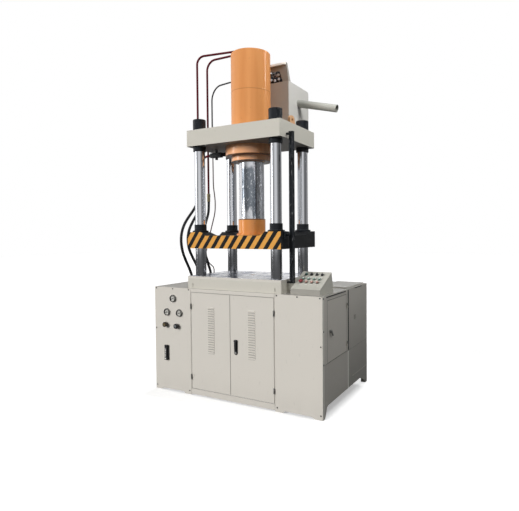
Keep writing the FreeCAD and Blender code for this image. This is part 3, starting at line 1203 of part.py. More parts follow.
def ejector_cylinder():
    """Lower cylinder under the bed with its rod just below the table."""
    low = BED_BOTTOM - EJECTOR_LENGTH
    flange = BED_BOTTOM - 30
    barrel = revolve_z([(0, low), (95, low), (95, low + 30), (85, low + 36), (85, flange), (130, flange),
                        (130, BED_BOTTOM), (0, BED_BOTTOM)], 0, 0)
    piston_rod = rod(0, 0, BED_BOTTOM, EJECTOR_R, BED_TOP - 4 - BED_BOTTOM)
    ports = [rod(-115, 0, z, 18, 40, AXIS_X) for z in (low + 70, flange - 50)]
    bolts = []
    for i in range(6):
        angle = math.radians(60 * i)
        bolts.append(hexagon(110 * math.cos(angle), 110 * math.sin(angle), flange, 22, -14))
    return group([barrel.fuse([piston_rod] + ports)] + bolts)


MOTOR_AXIS = 170.0          # height of the motor's axis over its rails


def pump_unit():
    """Electric motor and pump on their rails behind the lower cylinder."""
    y, z = 540.0, CROSS_Z[1] + MOTOR_AXIS
    motor = turned([(0, 0), (112, 0), (130, 12), (130, 300), (112, 318), (0, 318)], V(-330, y, z), AXIS_X)
    fins = []
    for i in range(10):
        angle = 18 + 36 * i
        fin = box(-300, -3, 120, -50, 3, 142)
        fin.rotate(V(0, 0, 0), AXIS_X, angle)
        fin.translate(V(0, y, z))
        fins.append(fin)
    terminal = box(-240, y - 60, z + 125, -120, y + 60, z + 190)
    bell = turned([(0, 0), (120, 0), (120, 12), (85, 20), (85, 100), (0, 100)], V(-12, y, z), AXIS_X)
    pump = turned([(0, 0), (78, 0), (78, 14), (60, 20), (60, 130), (45, 140), (0, 140)], V(88, y, z), AXIS_X)
    low = CROSS_Z[1]
    foot_motor = box(-330, y - 110, low, -12, y + 110, low + 40)
    saddle = box(-300, y - 90, low + 40, -50, y + 90, z - 60)
    foot_pump = box(240, y - 60, low, 320, y + 60, low + 12)
    leg = box(200, y - 30, low + 12, 226, y + 30, z)
    leg_foot = box(200, y - 30, low, 320, y + 30, low + 12)
    drive = motor.fuse(fins + [terminal, bell, pump, foot_motor, saddle, leg, leg_foot, foot_pump])
    return drive


def electric_plate():
    """Mounting plate of the electrical bay with contactors and terminal rows."""
    x = 720.0
    floor = SHELF_Z + SHEET
    plate = box(x, BASE_FRONT + 77, floor, x + 4, SLOT_Y[0] - 33, floor + 587)
    devices = []
    rows = ((floor + 467, 90, 70, 46), (floor + 287, 80, 62, 60), (floor + 127, 60, 40, 30))
    for row, (z, height, depth, width) in enumerate(rows):
        y = -280.0
        while y + width < 170:
            devices.append(box(x + 4, y, z, x + 4 + depth, y + width - 4, z + height))
            y += width + 14 + 10 * row
    return group([plate] + devices)


# ================================================================ write the parts
NODES = [
    ("base_frame", base_frame), ("left_cabinet", left_cabinet), ("right_cabinet", right_cabinet),
    ("right_side_wall", right_side_wall), ("centre_surround", centre_surround), ("front_panels", front_panels),
    ("left_door", left_door), ("right_door", right_door), ("door_handle", door_handle),
    ("side_door", side_door), ("side_handle", side_handle), ("panel_screws", panel_screws),
    ("bed", bed), ("table_plate", table_plate), ("columns", columns), ("column_nuts", column_nuts),
    ("crown", crown), ("lifting_lugs", lifting_lugs),
    ("cylinder_body", cylinder_body), ("cylinder_gland", cylinder_gland), ("gland_bolts", gland_bolts),
    ("ram", ram), ("ram_collar", ram_collar), ("platen", platen), ("guide_bushes", guide_bushes),
    ("striker", striker),
    ("top_tank", top_tank), ("tank_hood", tank_hood), ("prefill_valve", prefill_valve),
    ("breather_tube", breather_tube),
    ("oil_pipes", oil_pipes), ("pilot_line", pilot_line), ("pipe_fittings", pipe_fittings),
    ("hose_outer", hose_outer), ("hose_inner", hose_inner), ("hose_return", hose_return),
    ("switch_rail", switch_rail), ("console", console),
    ("emergency_stop", lambda: button(BUTTON_X[0], ROW_STOP, MUSHROOM)),
    ("gauges", gauges), ("oil_level_gauge", oil_level_gauge),
    ("ejector_cylinder", ejector_cylinder), ("pump_unit", pump_unit), ("electric_plate", electric_plate),
]
NODES += [("selector_%d" % (i + 1), lambda x=x: selector(x)) for i, x in enumerate(BUTTON_X)]
NODES += [("start_button_%d" % (i + 1), lambda x=x: button(x, ROW_START, FLAT_CAP)) for i, x in enumerate(BUTTON_X)]
NODES += [("stop_button_%d" % (i + 1), lambda x=x: button(x, ROW_STOP, FLAT_CAP)) for i, x in enumerate(BUTTON_X[1:])]
NODES += [("needle_%d" % (i + 1), lambda p=p: needle(p[0], p[1], -115)) for i, p in enumerate(GAUGES)]
NODES += [("valve_knob_%d" % (i + 1), lambda p=p: valve_knob(p[0], p[1])) for i, p in enumerate(KNOBS)]

for node_name, make in NODES:
    save(node_name, make())

total = sum(item[2] for item in written)
for item in written:
    print("%-18s solids %2d facets %5d volume %.0f cm3" % (item[0], item[1], item[2], item[3] / 1000))
print("nodes", len(written), "facets", total)
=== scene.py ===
import math

import bmesh
import bpy
from bpy.props import FloatProperty, FloatVectorProperty, PointerProperty
from bpy.types import Operator, Panel, PropertyGroup
from mathutils import Matrix, Vector


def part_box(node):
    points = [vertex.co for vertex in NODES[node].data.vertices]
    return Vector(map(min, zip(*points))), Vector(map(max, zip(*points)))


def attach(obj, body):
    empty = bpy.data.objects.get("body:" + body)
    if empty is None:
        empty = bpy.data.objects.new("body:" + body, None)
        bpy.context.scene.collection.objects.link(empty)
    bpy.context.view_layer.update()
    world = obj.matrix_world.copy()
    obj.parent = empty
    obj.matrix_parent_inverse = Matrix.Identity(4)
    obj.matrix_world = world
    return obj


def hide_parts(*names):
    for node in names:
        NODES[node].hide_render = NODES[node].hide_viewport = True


bl_info = {
    "name": "Four-column hydraulic press",
    "version": (1, 0, 0),
    "blender": (4, 5, 0),
    "location": "View3D > Sidebar > Press",
    "description": "Finishes, small fittings and studio for the four-column hydraulic press",
    "category": "Object",
}

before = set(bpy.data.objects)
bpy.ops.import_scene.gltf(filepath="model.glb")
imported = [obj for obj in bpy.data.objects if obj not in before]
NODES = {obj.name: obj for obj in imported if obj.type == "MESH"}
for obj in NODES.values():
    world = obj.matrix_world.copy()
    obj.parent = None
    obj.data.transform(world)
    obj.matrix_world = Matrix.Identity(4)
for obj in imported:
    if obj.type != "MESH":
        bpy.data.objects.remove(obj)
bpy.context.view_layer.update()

# ---------------------------------------------------------------- places on the press, in metres
FRONT = -0.417                      # plane of the doors and front panels
SIDE = 0.977                        # outer face of the cabinets' side walls
SKIN = 0.002                        # depth over which paint counts as lying on a side wall
BASE_TOP = 1.0985                   # top of the cabinets
WALL_SEAM_Z = (0.4808, 0.4842)      # groove between the upper and the lower sheets of a side wall
WALL_SEAM_Y = (0.2283, 0.2317)      # groove between its front and its rear sheets
HINGE_X, KNUCKLE = 0.4865, 0.0085   # the front doors' hinges and their knuckles' radius
DOOR_Z = (0.071, 1.062)
LOUVRE_Z, LOUVRE_ROW, LOUVRE_PITCH, LOUVRE_HALF = (0.452, 0.922), 0.463, 0.0237, 0.038
LOUVRE_PHASE, LOUVRE_OPEN = 0.62, 0.26              # a slot's shift in its row, and its share of the row
HANDLE_DISH = ((0.0425, 0.0825), (0.4795, 0.6275))
LOCK_PLACE = (0.0625, 0.499)
SIDE_DOOR = ((-0.3045, 0.4885), (0.1775, 1.0485))
SEAM_SEAL = ((0.2190, 0.2410), (0.486, 1.090))      # seals of the side walls, along Y and along Z
TOP_SEALS = (((-0.330, 0.160), (1.0800, 1.0890)), ((0.430, 0.640), (1.0850, 1.0930)))
DIAL_PLACES = ((-0.724, 0.984), (-0.807, 0.836), (-0.641, 0.836))
DIAL_START, DIAL_STEP, DIAL_NUMBERS, DIAL_DIVISIONS = 115, 46, 6, 5     # degrees, degrees, count, count
KNOB_PLACES = ((-0.822, 0.704), (-0.671, 0.698))
LEVEL_PLACE = (-0.818, 0.326, 0.484)
LEVEL_PITCH = 0.026                 # from mark to mark on the oil level gauge
DESK_FOOT = Vector((0.0, -0.342, BASE_TOP + 0.049))
DESK_SLOPE = math.atan2(0.139, 0.276)
DESK_UP = Vector((0.0, math.cos(DESK_SLOPE), math.sin(DESK_SLOPE)))
DESK_NORMAL = Vector((0.0, -math.sin(DESK_SLOPE), math.cos(DESK_SLOPE)))
BUTTON_X = (0.687, 0.742, 0.797, 0.852)
SELECTOR_ROW, START_ROW, STOP_ROW = 0.246, 0.169, 0.112
TABLE_EDGE_Z = (1.2, 1.2245)        # rim of the table plate, painted with the bed
COLLAR_RIM_Z = 1.8
HEAD_WELD_Z = 3.115                 # seam between the main cylinder's barrel and its head
LUG_Y, LUG_HALF, LUG_THICK = 0.121, 0.053, 0.026
PLATEN_FRONT = -0.3815
STRIPE_START, STRIPE_SHARE = 40.422, 0.52           # in pitches from the middle, and share of a pitch
COLUMN_FOOT = (1.42, 1.66)          # the columns are oily below the one and clean above the other
RAM_RADIUS, RAM_ACROSS = 0.131, (0.848, 0.530)      # the second: from left to right in the photo
COIL_FRONT, COIL_SIDE, COIL_BOTTOM = 0.2615, 0.09, 3.26
COUPLING_TOP = 2.3                  # fittings are brass below it and black above it
COIL_ENDS = ((0.118, 0.2295, 3.298), (0.163, 0.2295, 3.288), (0.210, 0.2295, 3.296), (0.204, 0.2375, 3.345))
PLUG_PLACES = ((0.118, 3.3165), (0.163, 3.3065), (0.204, 3.3635))
SLEEVE_CORNERS = ((-0.2300, 0.1059, 3.3038), (-0.330, 0.112, 3.316), (-0.640, 0.185, 3.322),
                  (-0.640, 0.185, 2.760))
SLEEVE_BENDS = ((0.300, 3), (0.150, 12))            # radius, and steps round it, at each inner corner
DEVICE_FACE = 0.7242                # plane from which the devices stand on the electrical plate
FOOTPRINT = (0.915, 0.585)          # half of the box round which a contact shadow is painted on the floor, along X and along Y
HOSE_PLANE = -0.600
HOSE_ROUTES = {
    "hose_outer": ((-.125, 2.128), (-.125, 2.070), (-.152, 1.992), (-.218, 1.912), (-.300, 1.838),
                   (-.385, 1.745), (-.428, 1.630), (-.415, 1.500), (-.355, 1.380), (-.300, 1.298),
                   (-.261, 1.222), (-.248, 1.170), (-.248, 1.1285)),
    "hose_inner": ((-.065, 2.098), (-.065, 2.040), (-.092, 1.960), (-.150, 1.885), (-.225, 1.800),
                   (-.295, 1.710), (-.323, 1.605), (-.300, 1.495), (-.240, 1.405), (-.180, 1.325),
                   (-.135, 1.255), (-.114, 1.185), (-.114, 1.1285)),
    "hose_return": ((.050, 2.018), (.050, 1.960), (.042, 1.890), (.012, 1.824), (-.025, 1.745),
                    (-.045, 1.655), (-.049, 1.560), (-.037, 1.468), (-.007, 1.382), (.033, 1.307),
                    (.065, 1.245), (.078, 1.182), (.078, 1.1285)),
}

# ---------------------------------------------------------------- camera and studio
CAMERA_PLACE = (2.5803, -4.134, 1.6685)
CAMERA_TURNS = ((28.287, "Z"), (90 - 1.734, "X"), (-0.4225, "Z"))       # degrees
CAMERA_LENS, SENSOR_WIDTH = 32.07, 36.0
CAMERA_SHIFT = (-0.0435, -0.0176)
# the room that the chrome reflects: its turn in degrees, then places round it, from 0 to 1, and how
# bright it is there
ROOM_TURN = 28
ROOM_TUBE, TUBE_GLOW = (0.762, 0.781), 14.0
ROOM_WINDOW, WINDOW_GLOW = (0.262, 0.286), 5.0
ROOM_WALLS = ((0.0, 0.9), (0.045, 0.6), (0.075, 0.55), (0.15, 1.0), (0.20, 1.0), (0.245, 1.0), (0.29, 0.85),
              (0.335, 0.40), (0.36, 0.28), (0.40, 0.52), (0.45, 0.72), (0.52, 0.80), (0.56, 0.55),
              (0.60, 0.28), (0.65, 0.12), (0.69, 0.18), (0.735, 0.16), (0.775, 0.46), (0.82, 0.14),
              (0.87, 0.22), (0.93, 0.30), (0.955, 1.0), (1.0, 1.0))


def linear(red, green, blue):
    """A colour given as 0 to 255 on a screen, as the shaders take it."""
    def channel(value):
        value = value / 255
        return value / 12.92 if value <= 0.04045 else ((value + 0.055) / 1.055) ** 2.4
    return channel(red), channel(green), channel(blue)


def toned(colour, *shares):
    """A colour times one share, or times a share for each of its channels."""
    return tuple(min(1.0, c * s) for c, s in zip(colour, shares * 3 if len(shares) == 1 else shares))


# ---------------------------------------------------------------- finishes
class Flow:
    """A value on its way through a node tree; arithmetic on it adds Math nodes."""

    def __init__(self, shading, socket):
        self.shading = shading
        self.socket = socket

    def math(self, operation, *others):
        values = dict(enumerate((self,) + others))
        return self.shading.add("ShaderNodeMath", {"operation": operation}, values)

    def __add__(self, other):
        return self.math("ADD", other)

    def __sub__(self, other):
        return self.math("SUBTRACT", other)

    def __mul__(self, other):
        return self.math("MULTIPLY", other)

    def __truediv__(self, other):
        return self.math("DIVIDE", other)

    def __rsub__(self, other):
        return self.shading.add("ShaderNodeMath", {"operation": "SUBTRACT"}, {0: other, 1: self})

    __radd__ = __add__
    __rmul__ = __mul__

    def above(self, edge):
        return self.math("GREATER_THAN", edge)

    def below(self, edge):
        return self.math("LESS_THAN", edge)

    def size(self):
        return self.math("ABSOLUTE")

    def ramp(self, low, high):
        """0 at low, 1 at high, smooth between them."""
        return self.shading.add("ShaderNodeMapRange", {"interpolation_type": "SMOOTHSTEP"},
                                {"Value": self, "From Min": low, "From Max": high})


class Shading:
    """A node tree and the values worked out in it."""

    def __init__(self, tree):
        self.tree = tree
        self.place = None
        self.axes = {}

    def add(self, kind, settings=None, values=None, output=0):
        """A node: its type, its settings, and the values or links of its sockets."""
        node = self.tree.nodes.new(kind)
        for key, value in (settings or {}).items():
            if key == "stops":
                stops = node.color_ramp.elements
                while len(stops) < len(value):
                    stops.new(0.5)
                for stop, (position, tone) in zip(stops, value):
                    stop.position = position
                    stop.color = (tone, tone, tone, 1.0)
            else:
                setattr(node, key, value)
        for key, value in (values or {}).items():
            if isinstance(value, Flow):
                self.tree.links.new(value.socket, node.inputs[key])
            else:
                node.inputs[key].default_value = value
        return Flow(self, node.outputs[output])

    def spot(self):
        """Where a point lies on the press."""
        if self.place is None:
            self.place = self.add("ShaderNodeTexCoord", output="Object")
        return self.place

    def along(self, vector, letter):
        """A vector's share along one axis."""
        return self.add("ShaderNodeSeparateXYZ", values={0: vector}, output=letter)

    def axis(self, letter):
        if letter not in self.axes:
            self.axes[letter] = self.along(self.spot(), letter)
        return self.axes[letter]

    def ray(self, kind):
        """1 for rays of one kind, 0 for the others."""
        return self.add("ShaderNodeLightPath", output="Is %s Ray" % kind)

    def facing(self, letter):
        """The outward direction's share along an axis."""
        return self.along(self.add("ShaderNodeTexCoord", output="Normal"), letter)

    def inside(self, low, high):
        """1 within a box, 0 outside it; None leaves a side open."""
        mask = None
        for letter, lo, hi in zip("XYZ", low, high):
            for edge, side in ((lo, "above"), (hi, "below")):
                if edge is not None:
                    test = getattr(self.axis(letter), side)(edge)
                    mask = test if mask is None else mask * test
        return mask

    def on_wall(self, low=None, high=None, bottom=None, top=None):
        """1 on the right side wall between two places along Y and two heights."""
        return self.inside((SIDE - SKIN, low, bottom), (SIDE + SKIN, high, top))

    def border(self, left, right, low, high, width=0.003):
        """1 along the edges of an upright panel, 0 within them."""
        return 1.0 - self.inside((left + width, None, low + width), (right - width, None, high - width))

    def noise(self, scale, detail=3.0, stretch=(1.0, 1.0, 1.0)):
        """Even noise between about 0.25 and 0.75; stretch above 1 packs it along that axis."""
        spot = self.add("ShaderNodeVectorMath", {"operation": "MULTIPLY"}, {0: self.spot(), 1: stretch})
        return self.add("ShaderNodeTexNoise", values={"Vector": spot, "Scale": scale, "Detail": detail})

    def blend(self, share, first, second):
        """The first colour where the share is 0, the second where it is 1."""
        first, second = [tone if isinstance(tone, Flow) else (*tone, 1.0) for tone in (first, second)]
        return self.add("ShaderNodeMix", {"data_type": "RGBA", "clamp_factor": True},
                        {0: share, 6: first, 7: second}, output=2)


class Finish(Shading):
    """One material: a Principled shader and the nodes that feed it."""

    def __init__(self, name, colour, roughness=0.5, metallic=0.0, **constants):
        self.material = bpy.data.materials.new(name)
        self.material.use_nodes = True
        super().__init__(self.material.node_tree)
        self.shader = self.tree.nodes["Principled BSDF"]
        self.shader.inputs["Base Color"].default_value = (*colour, 1.0)
        self.shader.inputs["Roughness"].default_value = roughness
        self.shader.inputs["Metallic"].default_value = metallic
        for key, value in constants.items():
            self.shader.inputs[key.replace("_", " ").title().replace("Ior", "IOR")].default_value = value

    def feed(self, name, flow):
        self.tree.links.new(flow.socket, self.shader.inputs[name])

    def over(self, share, colour):
        """Lay a colour over the one so far, as far as the share says."""
        base = self.shader.inputs["Base Color"]
        made = Flow(self, base.links[0].from_socket) if base.links else base.default_value[:3]
        self.feed("Base Color", self.blend(share, made, colour))

    def relief(self, height, depth, strength=1.0):
        self.feed("Normal", self.add("ShaderNodeBump", values={"Height": height, "Distance": depth,
                                                              "Strength": strength}))


def dress(finish, *names):
    """Give CAD nodes their finish."""
    for name in names:
        piece = NODES[name]
        piece.data.materials.clear()
        piece.data.materials.append(finish.material)


def painted(name, colour, roughness=0.42, wave=0.35, dirt=0.0):
    """Sprayed enamel on sheet or plate: faint patches, orange peel, and grime where it is asked for."""
    finish = Finish(name, colour, roughness, coat_weight=0.12, coat_roughness=0.25)
    patches = finish.noise(3.1, 4.0)
    finish.over((patches - 0.42) * 0.5, toned(colour, 0.93))
    warm = finish.noise(0.9, 2.0)
    finish.over((warm - 0.4) * 0.3, toned(colour, 1.0, 0.96, 0.92))
    marks = finish.noise(38.0, 5.0, (1.0, 1.0, 0.4))
    finish.over(marks.ramp(0.64, 0.74) * 0.25, toned(colour, 0.72))
    # Upward faces darker and greyer: dust, and painted shade on the tops.
    dust = finish.facing("Z").ramp(0.75, 0.95) * (finish.noise(17.0, 4.0) * 0.45 + 0.5)
    finish.over(dust * 0.75, toned(colour, 0.34))
    if dirt:
        low = 1.0 - finish.axis("Z").ramp(0.0, 0.32)
        grime = finish.noise(9.0, 5.0, (1.0, 1.0, 0.35))
        finish.over(low * grime * dirt, (0.2, 0.19, 0.17))
    finish.feed("Roughness", patches * 0.16 + (roughness - 0.08))
    finish.relief(finish.noise(420.0, 2.0) * 0.04 + finish.noise(5.5, 1.0) * wave, 0.004, 0.35)
    return finish


def enamel(name, colour, streak=0.25, roughness=0.42, shine=0.35, haze=0.04):
    """Thick rolled enamel on turned pieces: faint upright streaks, partly painted reflection, under a thin
    clear gloss.
    """
    finish = Finish(name, colour, roughness, coat_weight=shine, coat_roughness=haze, specular_ior_level=0.2)
    # Upright streaks: runs in the enamel, and painted reflection in their darker colour.
    runs_and_reflections = finish.noise(16.0, 4.0, (1.0, 1.0, 0.06))
    finish.over((runs_and_reflections - 0.36) * streak * 3, toned(colour, 0.84, 0.72, 0.66))
    clouds = finish.noise(2.4, 3.0)
    finish.over((clouds - 0.45) * 0.6, toned(colour, 1.05, 1.1, 1.3))
    rubs = finish.noise(70.0, 4.0, (1.0, 1.0, 0.5)).ramp(0.66, 0.74)
    finish.over(rubs * 0.3, toned(colour, 0.55))
    finish.feed("Roughness", runs_and_reflections * 0.2 + (roughness - 0.1))
    finish.relief(finish.noise(300.0, 2.0) * 0.03 + runs_and_reflections * 0.06, 0.003, 0.2)
    return finish


def black_enamel(name, colour, roughness=0.42, worn=0.5, rub=0.66, specular=0.3):
    """Black enamel with a dull sheen, rubbed through to steel in small spots."""
    finish = Finish(name, colour, roughness, specular_ior_level=specular)
    patches = finish.noise(14.0, 4.0)
    finish.over((patches - 0.4) * 0.7, tuple(c * 1.6 + 0.003 for c in colour))
    rubs = finish.noise(55.0, 5.0, (1.0, 1.0, 0.3)).ramp(rub, rub + 0.06)
    finish.over(rubs * worn, (0.16, 0.16, 0.165))
    finish.feed("Roughness", patches * 0.3 + (roughness - 0.12))
    finish.relief(finish.noise(260.0, 2.0), 0.0006, 0.25)
    return finish


def chromed(name, colour):
    """Hard chrome on ground bar: round-about grinding marks, oil film and fine upright scratches."""
    finish = Finish(name, colour, 0.09, 1.0)
    film = finish.noise(7.0, 4.0, (1.0, 1.0, 0.18))
    marks = finish.noise(60.0, 2.0, (0.4, 0.4, 14.0))
    low = 1.0 - finish.axis("Z").ramp(*COLUMN_FOOT)
    finish.over((film - 0.42) * 0.9, toned(colour, 0.72))
    finish.over(low * 0.85, toned(colour, 0.32))
    finish.feed("Roughness", film * 0.16 + marks * 0.05)
    finish.relief(marks + finish.noise(30.0, 3.0, (1.0, 1.0, 0.04)) * 0.6, 0.00005, 0.2)
    return finish


def ram_chrome(name, colour):
    """The ram's chrome with painted reflections: a bright band, a broad dark oily band with drips below, a
    dark line, glints.
    """
    finish = Finish(name, colour, 0.08, 1.0)
    across = (finish.axis("X") * RAM_ACROSS[0] + finish.axis("Y") * RAM_ACROSS[1]) / RAM_RADIUS
    height = finish.axis("Z")
    streaks = finish.noise(13.0, 4.0, (1.0, 1.0, 0.05))
    smears = finish.noise(30.0, 5.0, (1.0, 1.0, 0.22))
    flecks = finish.noise(75.0, 4.0, (1.0, 1.0, 0.5))
    drips = finish.noise(20.0, 3.0, (1.0, 1.0, 0.10))
    # Darker streaks over the right side: painted reflection.
    right = across.ramp(0.28, 0.36)
    finish.over(right * streaks.ramp(0.34, 0.60) * 0.6, toned(colour, 0.42, 0.45, 0.49))
    # A near-white band down the left side: painted highlight.
    finish.over(across.below(-0.72), (0.93, 0.94, 0.97))
    # A broad dark band ending in drips below: painted reflection, with oil in its roughness.
    reach = (2.40 - height) * 1.1 + (smears - 0.5) * 0.5 + 0.06
    oil = across.ramp(-0.78, -0.73) * (1.0 - (across - reach).ramp(-0.05, 0.05)) * across.below(0.30)
    oil = oil * (height + (smears - 0.5) * 0.12).ramp(2.36, 2.31)
    clear = (drips + (1.95 - height) * 2.0).ramp(0.60, 0.68)
    finish.over(oil * (1.0 - clear) * 0.92, toned(colour, 0.24, 0.27, 0.30))
    # A dark upright line on the right side: painted reflection.
    line = (across - 0.33 + (streaks - 0.5) * 0.12).size().ramp(0.055, 0.03)
    finish.over(line * 0.75, toned(colour, 0.16))
    # Bright flecks, more of them low down: painted glints.
    glint_specks = (flecks + (2.05 - height) * 0.12).ramp(0.57, 0.66)
    finish.over(glint_specks * 0.55, toned(colour, 1.25))
    finish.feed("Roughness", smears.ramp(0.4, 0.7) * 0.2 + oil * 0.12 + right * 0.2 + 0.03)
    finish.relief(streaks * 0.5 + finish.noise(9.0, 2.0, (1.0, 1.0, 0.3)), 0.0008, 0.35)
    return finish


def ground(name, colour):
    """Surface-ground steel: long straight grinding lines, rubbed patches and faint stains."""
    finish = Finish(name, colour, 0.3, 0.9)
    lines = finish.noise(28.0, 3.0, (0.6, 40.0, 1.0))
    rubbed = finish.noise(6.5, 4.0)
    finish.over((lines - 0.3) * 0.8, toned(colour, 0.74))
    finish.over((rubbed - 0.5) * 1.6, toned(colour, 0.5))
    spots = finish.noise(16.0, 4.0, (1.0, 0.3, 1.0)).ramp(0.52, 0.58)
    finish.over(spots * 0.85, toned(colour, 0.13, 0.16, 0.27))
    finish.feed("Roughness", rubbed * 0.3 + lines * 0.12 + 0.08)
    finish.relief(lines, 0.00012, 0.4)
    return finish


def machined(name, colour, roughness=0.32, metallic=1.0):
    """Turned or milled metal, dulled in small patches."""
    finish = Finish(name, colour, roughness, metallic)
    wear = finish.noise(45.0, 4.0)
    finish.over((wear - 0.35) * 0.9, toned(colour, 0.55))
    finish.feed("Roughness", wear * 0.3 + (roughness - 0.12))
    finish.relief(finish.noise(350.0, 2.0), 0.0002, 0.25)
    return finish


def moulded(name, colour, roughness=0.4):
    """Moulded plastic or rubber with a fine grain."""
    finish = Finish(name, colour, roughness, specular_ior_level=0.5)
    cloud = finish.noise(60.0, 3.0)
    finish.over((cloud - 0.4) * 0.5, tuple(c * 1.35 + 0.003 for c in colour))
    finish.feed("Roughness", cloud * 0.2 + (roughness - 0.09))
    finish.relief(finish.noise(900.0, 1.0), 0.00015, 0.2)
    return finish


def tube_paint(name, colour):
    """Smooth dark paint on thin tube, a little lighter in places along it."""
    finish = Finish(name, colour, 0.7, specular_ior_level=0.15)
    shade = finish.noise(3.0, 2.0)
    finish.over(shade * 0.4, toned(colour, 1.2))
    finish.feed("Roughness", shade * 0.1 + 0.68)
    return finish


# ---------------------------------------------------------------- what a user would change
class PressColours(PropertyGroup):
    """Colours of the press."""
    cream: FloatVectorProperty(name="Cream paint", description="Cabinets, bed, crown and tank",
                               subtype="COLOR", size=3, min=0, max=1, default=linear(213, 208, 199))
    orange: FloatVectorProperty(name="Orange enamel", description="Main cylinder, gland, collar and lugs",
                                subtype="COLOR", size=3, min=0, max=1, default=linear(236, 161, 94))
    stripe: FloatVectorProperty(name="Stripe orange", description="Warning stripes on the platen",
                                subtype="COLOR", size=3, min=0, max=1, default=linear(226, 164, 82))
    black: FloatVectorProperty(name="Black enamel", description="Nuts, bushes, rail and platen",
                               subtype="COLOR", size=3, min=0, max=1, default=linear(28, 31, 35))
    chrome: FloatVectorProperty(name="Chrome", description="Columns and ram",
                                subtype="COLOR", size=3, min=0, max=1, default=linear(226, 228, 233))
    tube: FloatVectorProperty(name="Tube red", description="Rigid oil lines",
                              subtype="COLOR", size=3, min=0, max=1, default=linear(92, 34, 42))
    rubber: FloatVectorProperty(name="Hose rubber", description="Covers of the hoses",
                                subtype="COLOR", size=3, min=0, max=1, default=linear(26, 27, 30))


class PressSizes(PropertyGroup):
    """Sizes of the small fittings and patterns."""
    hose: FloatProperty(name="Hose diameter", description="Outside diameter of the hoses",
                        subtype="DISTANCE", unit="LENGTH", min=0.02, max=0.04, default=0.028)
    stripe_pitch: FloatProperty(name="Stripe pitch", description="Along the platen, from stripe to stripe",
                                subtype="DISTANCE", unit="LENGTH", min=0.04, max=0.3, default=0.102)
    stripe_lean: FloatProperty(name="Stripe lean", description="Sideways run per unit of height",
                               min=0.0, max=2.0, default=0.70)
    bead: FloatProperty(name="Weld bead", description="Radius of the weld beads",
                        subtype="DISTANCE", unit="LENGTH", min=0.002, max=0.01, default=0.004)


class PressStudio(PropertyGroup):
    """Light and floor."""
    key: FloatProperty(name="Key light", description="Strength of the light from the front left",
                       min=0, max=10, default=3.28)
    sky: FloatProperty(name="Sky", description="Even light from all round", min=0, max=5, default=0.14)
    side: FloatProperty(name="High side light", description="Power of the soft light high on the right",
                        unit="POWER", min=0, max=4000, default=86)
    back: FloatProperty(name="Back light", description="Strength of the light from behind",
                        min=0, max=10, default=0.9)
    floor: FloatVectorProperty(name="Floor", description="Colour of the floor",
                               subtype="COLOR", size=3, min=0, max=1, default=(0.14, 0.14, 0.14))


def settings(context):
    """The three groups of settings: colours, sizes and studio."""
    scene = context.scene
    return scene.press_colours, scene.press_sizes, scene.press_studio


# ---------------------------------------------------------------- modelling by hand operations
def drop_selection():
    """Leave edit mode and select nothing."""
    if bpy.context.object and bpy.context.object.mode != "OBJECT":
        bpy.ops.object.mode_set(mode="OBJECT")
    bpy.ops.object.select_all(action="DESELECT")


def open_mesh():
    """Enter edit mode with the whole mesh selected."""
    bpy.ops.object.mode_set(mode="EDIT")
    bpy.ops.mesh.select_all(action="SELECT")


def close_mesh():
    """Leave edit mode."""
    bpy.ops.object.mode_set(mode="OBJECT")


def start(kind, name, **options):
    """A primitive, alone in the selection, ready to be shaped."""
    drop_selection()
    getattr(bpy.ops.mesh, "primitive_%s_add" % kind)(**options)
    piece = bpy.context.object
    piece.name = piece.data.name = name
    return piece


def pick(piece, test, what="faces"):
    """Select the faces, edges or vertices that pass the test, in edit mode."""
    mesh = bmesh.from_edit_mesh(piece.data)
    bpy.ops.mesh.select_all(action="DESELECT")
    for item in getattr(mesh, what):
        if test(item):
            item.select_set(True)
    bmesh.update_edit_mesh(piece.data)


def draw_up(name, steps, segments, fill):
    """A circle drawn up and scaled through (radius, height) steps."""
    radius, height = steps[0]
    piece = start("circle", name, vertices=segments, radius=radius, fill_type=fill, location=(0, 0, height))
    bpy.ops.object.transform_apply(location=True)
    open_mesh()
    for next_radius, next_height in steps[1:]:
        bpy.ops.mesh.extrude_region_move(TRANSFORM_OT_translate={"value": (0, 0, next_height - height)})
        scale = next_radius / radius
        bpy.ops.transform.resize(value=(scale, scale, 1), center_override=(0, 0, next_height))
        radius, height = next_radius, next_height
    bpy.ops.mesh.select_all(action="SELECT")
    bpy.ops.mesh.remove_doubles(threshold=0.000001)
    bpy.ops.mesh.normals_make_consistent(inside=False)
    close_mesh()
    bpy.ops.object.shade_smooth_by_angle(angle=math.radians(35))
    return piece


def turn_up(name, profile, segments):
    """A turned piece, from a disc."""
    return draw_up(name, profile, segments, "NGON")


def hoop_up(name, profile, segments):
    """A turned ring, closed on itself."""
    return draw_up(name, profile + profile[:1], segments, "NOTHING")


def place(piece, matrix):
    """Move the mesh itself, so that the piece stays at the origin."""
    piece.data.transform(matrix)
    piece.data.update()
    return piece


def bead(name, first, last, radius):
    """A weld bead along a straight joint: a rod drawn up in short swollen ripples, then laid in place."""
    first, last = Vector(first), Vector(last)
    length = (last - first).length
    ripples = max(3, round(length / (radius * 1.4)))
    step = length / (2 * ripples)
    profile = [(radius * 0.55, 0.0)]
    profile += [(radius * (1.0 if i % 2 else 0.8), i * step) for i in range(1, 2 * ripples)]
    profile.append((radius * 0.55, length))
    turn = (last - first).to_track_quat("Z", "Y").to_matrix().to_4x4()
    return place(turn_up(name, profile, 10), Matrix.Translation(first) @ turn)


def cube(name, centre, size):
    """A cube, left open for editing with all of it selected."""
    piece = start("cube", name, size=1, location=centre, scale=size)
    bpy.ops.object.transform_apply(location=True, scale=True)
    open_mesh()
    return piece


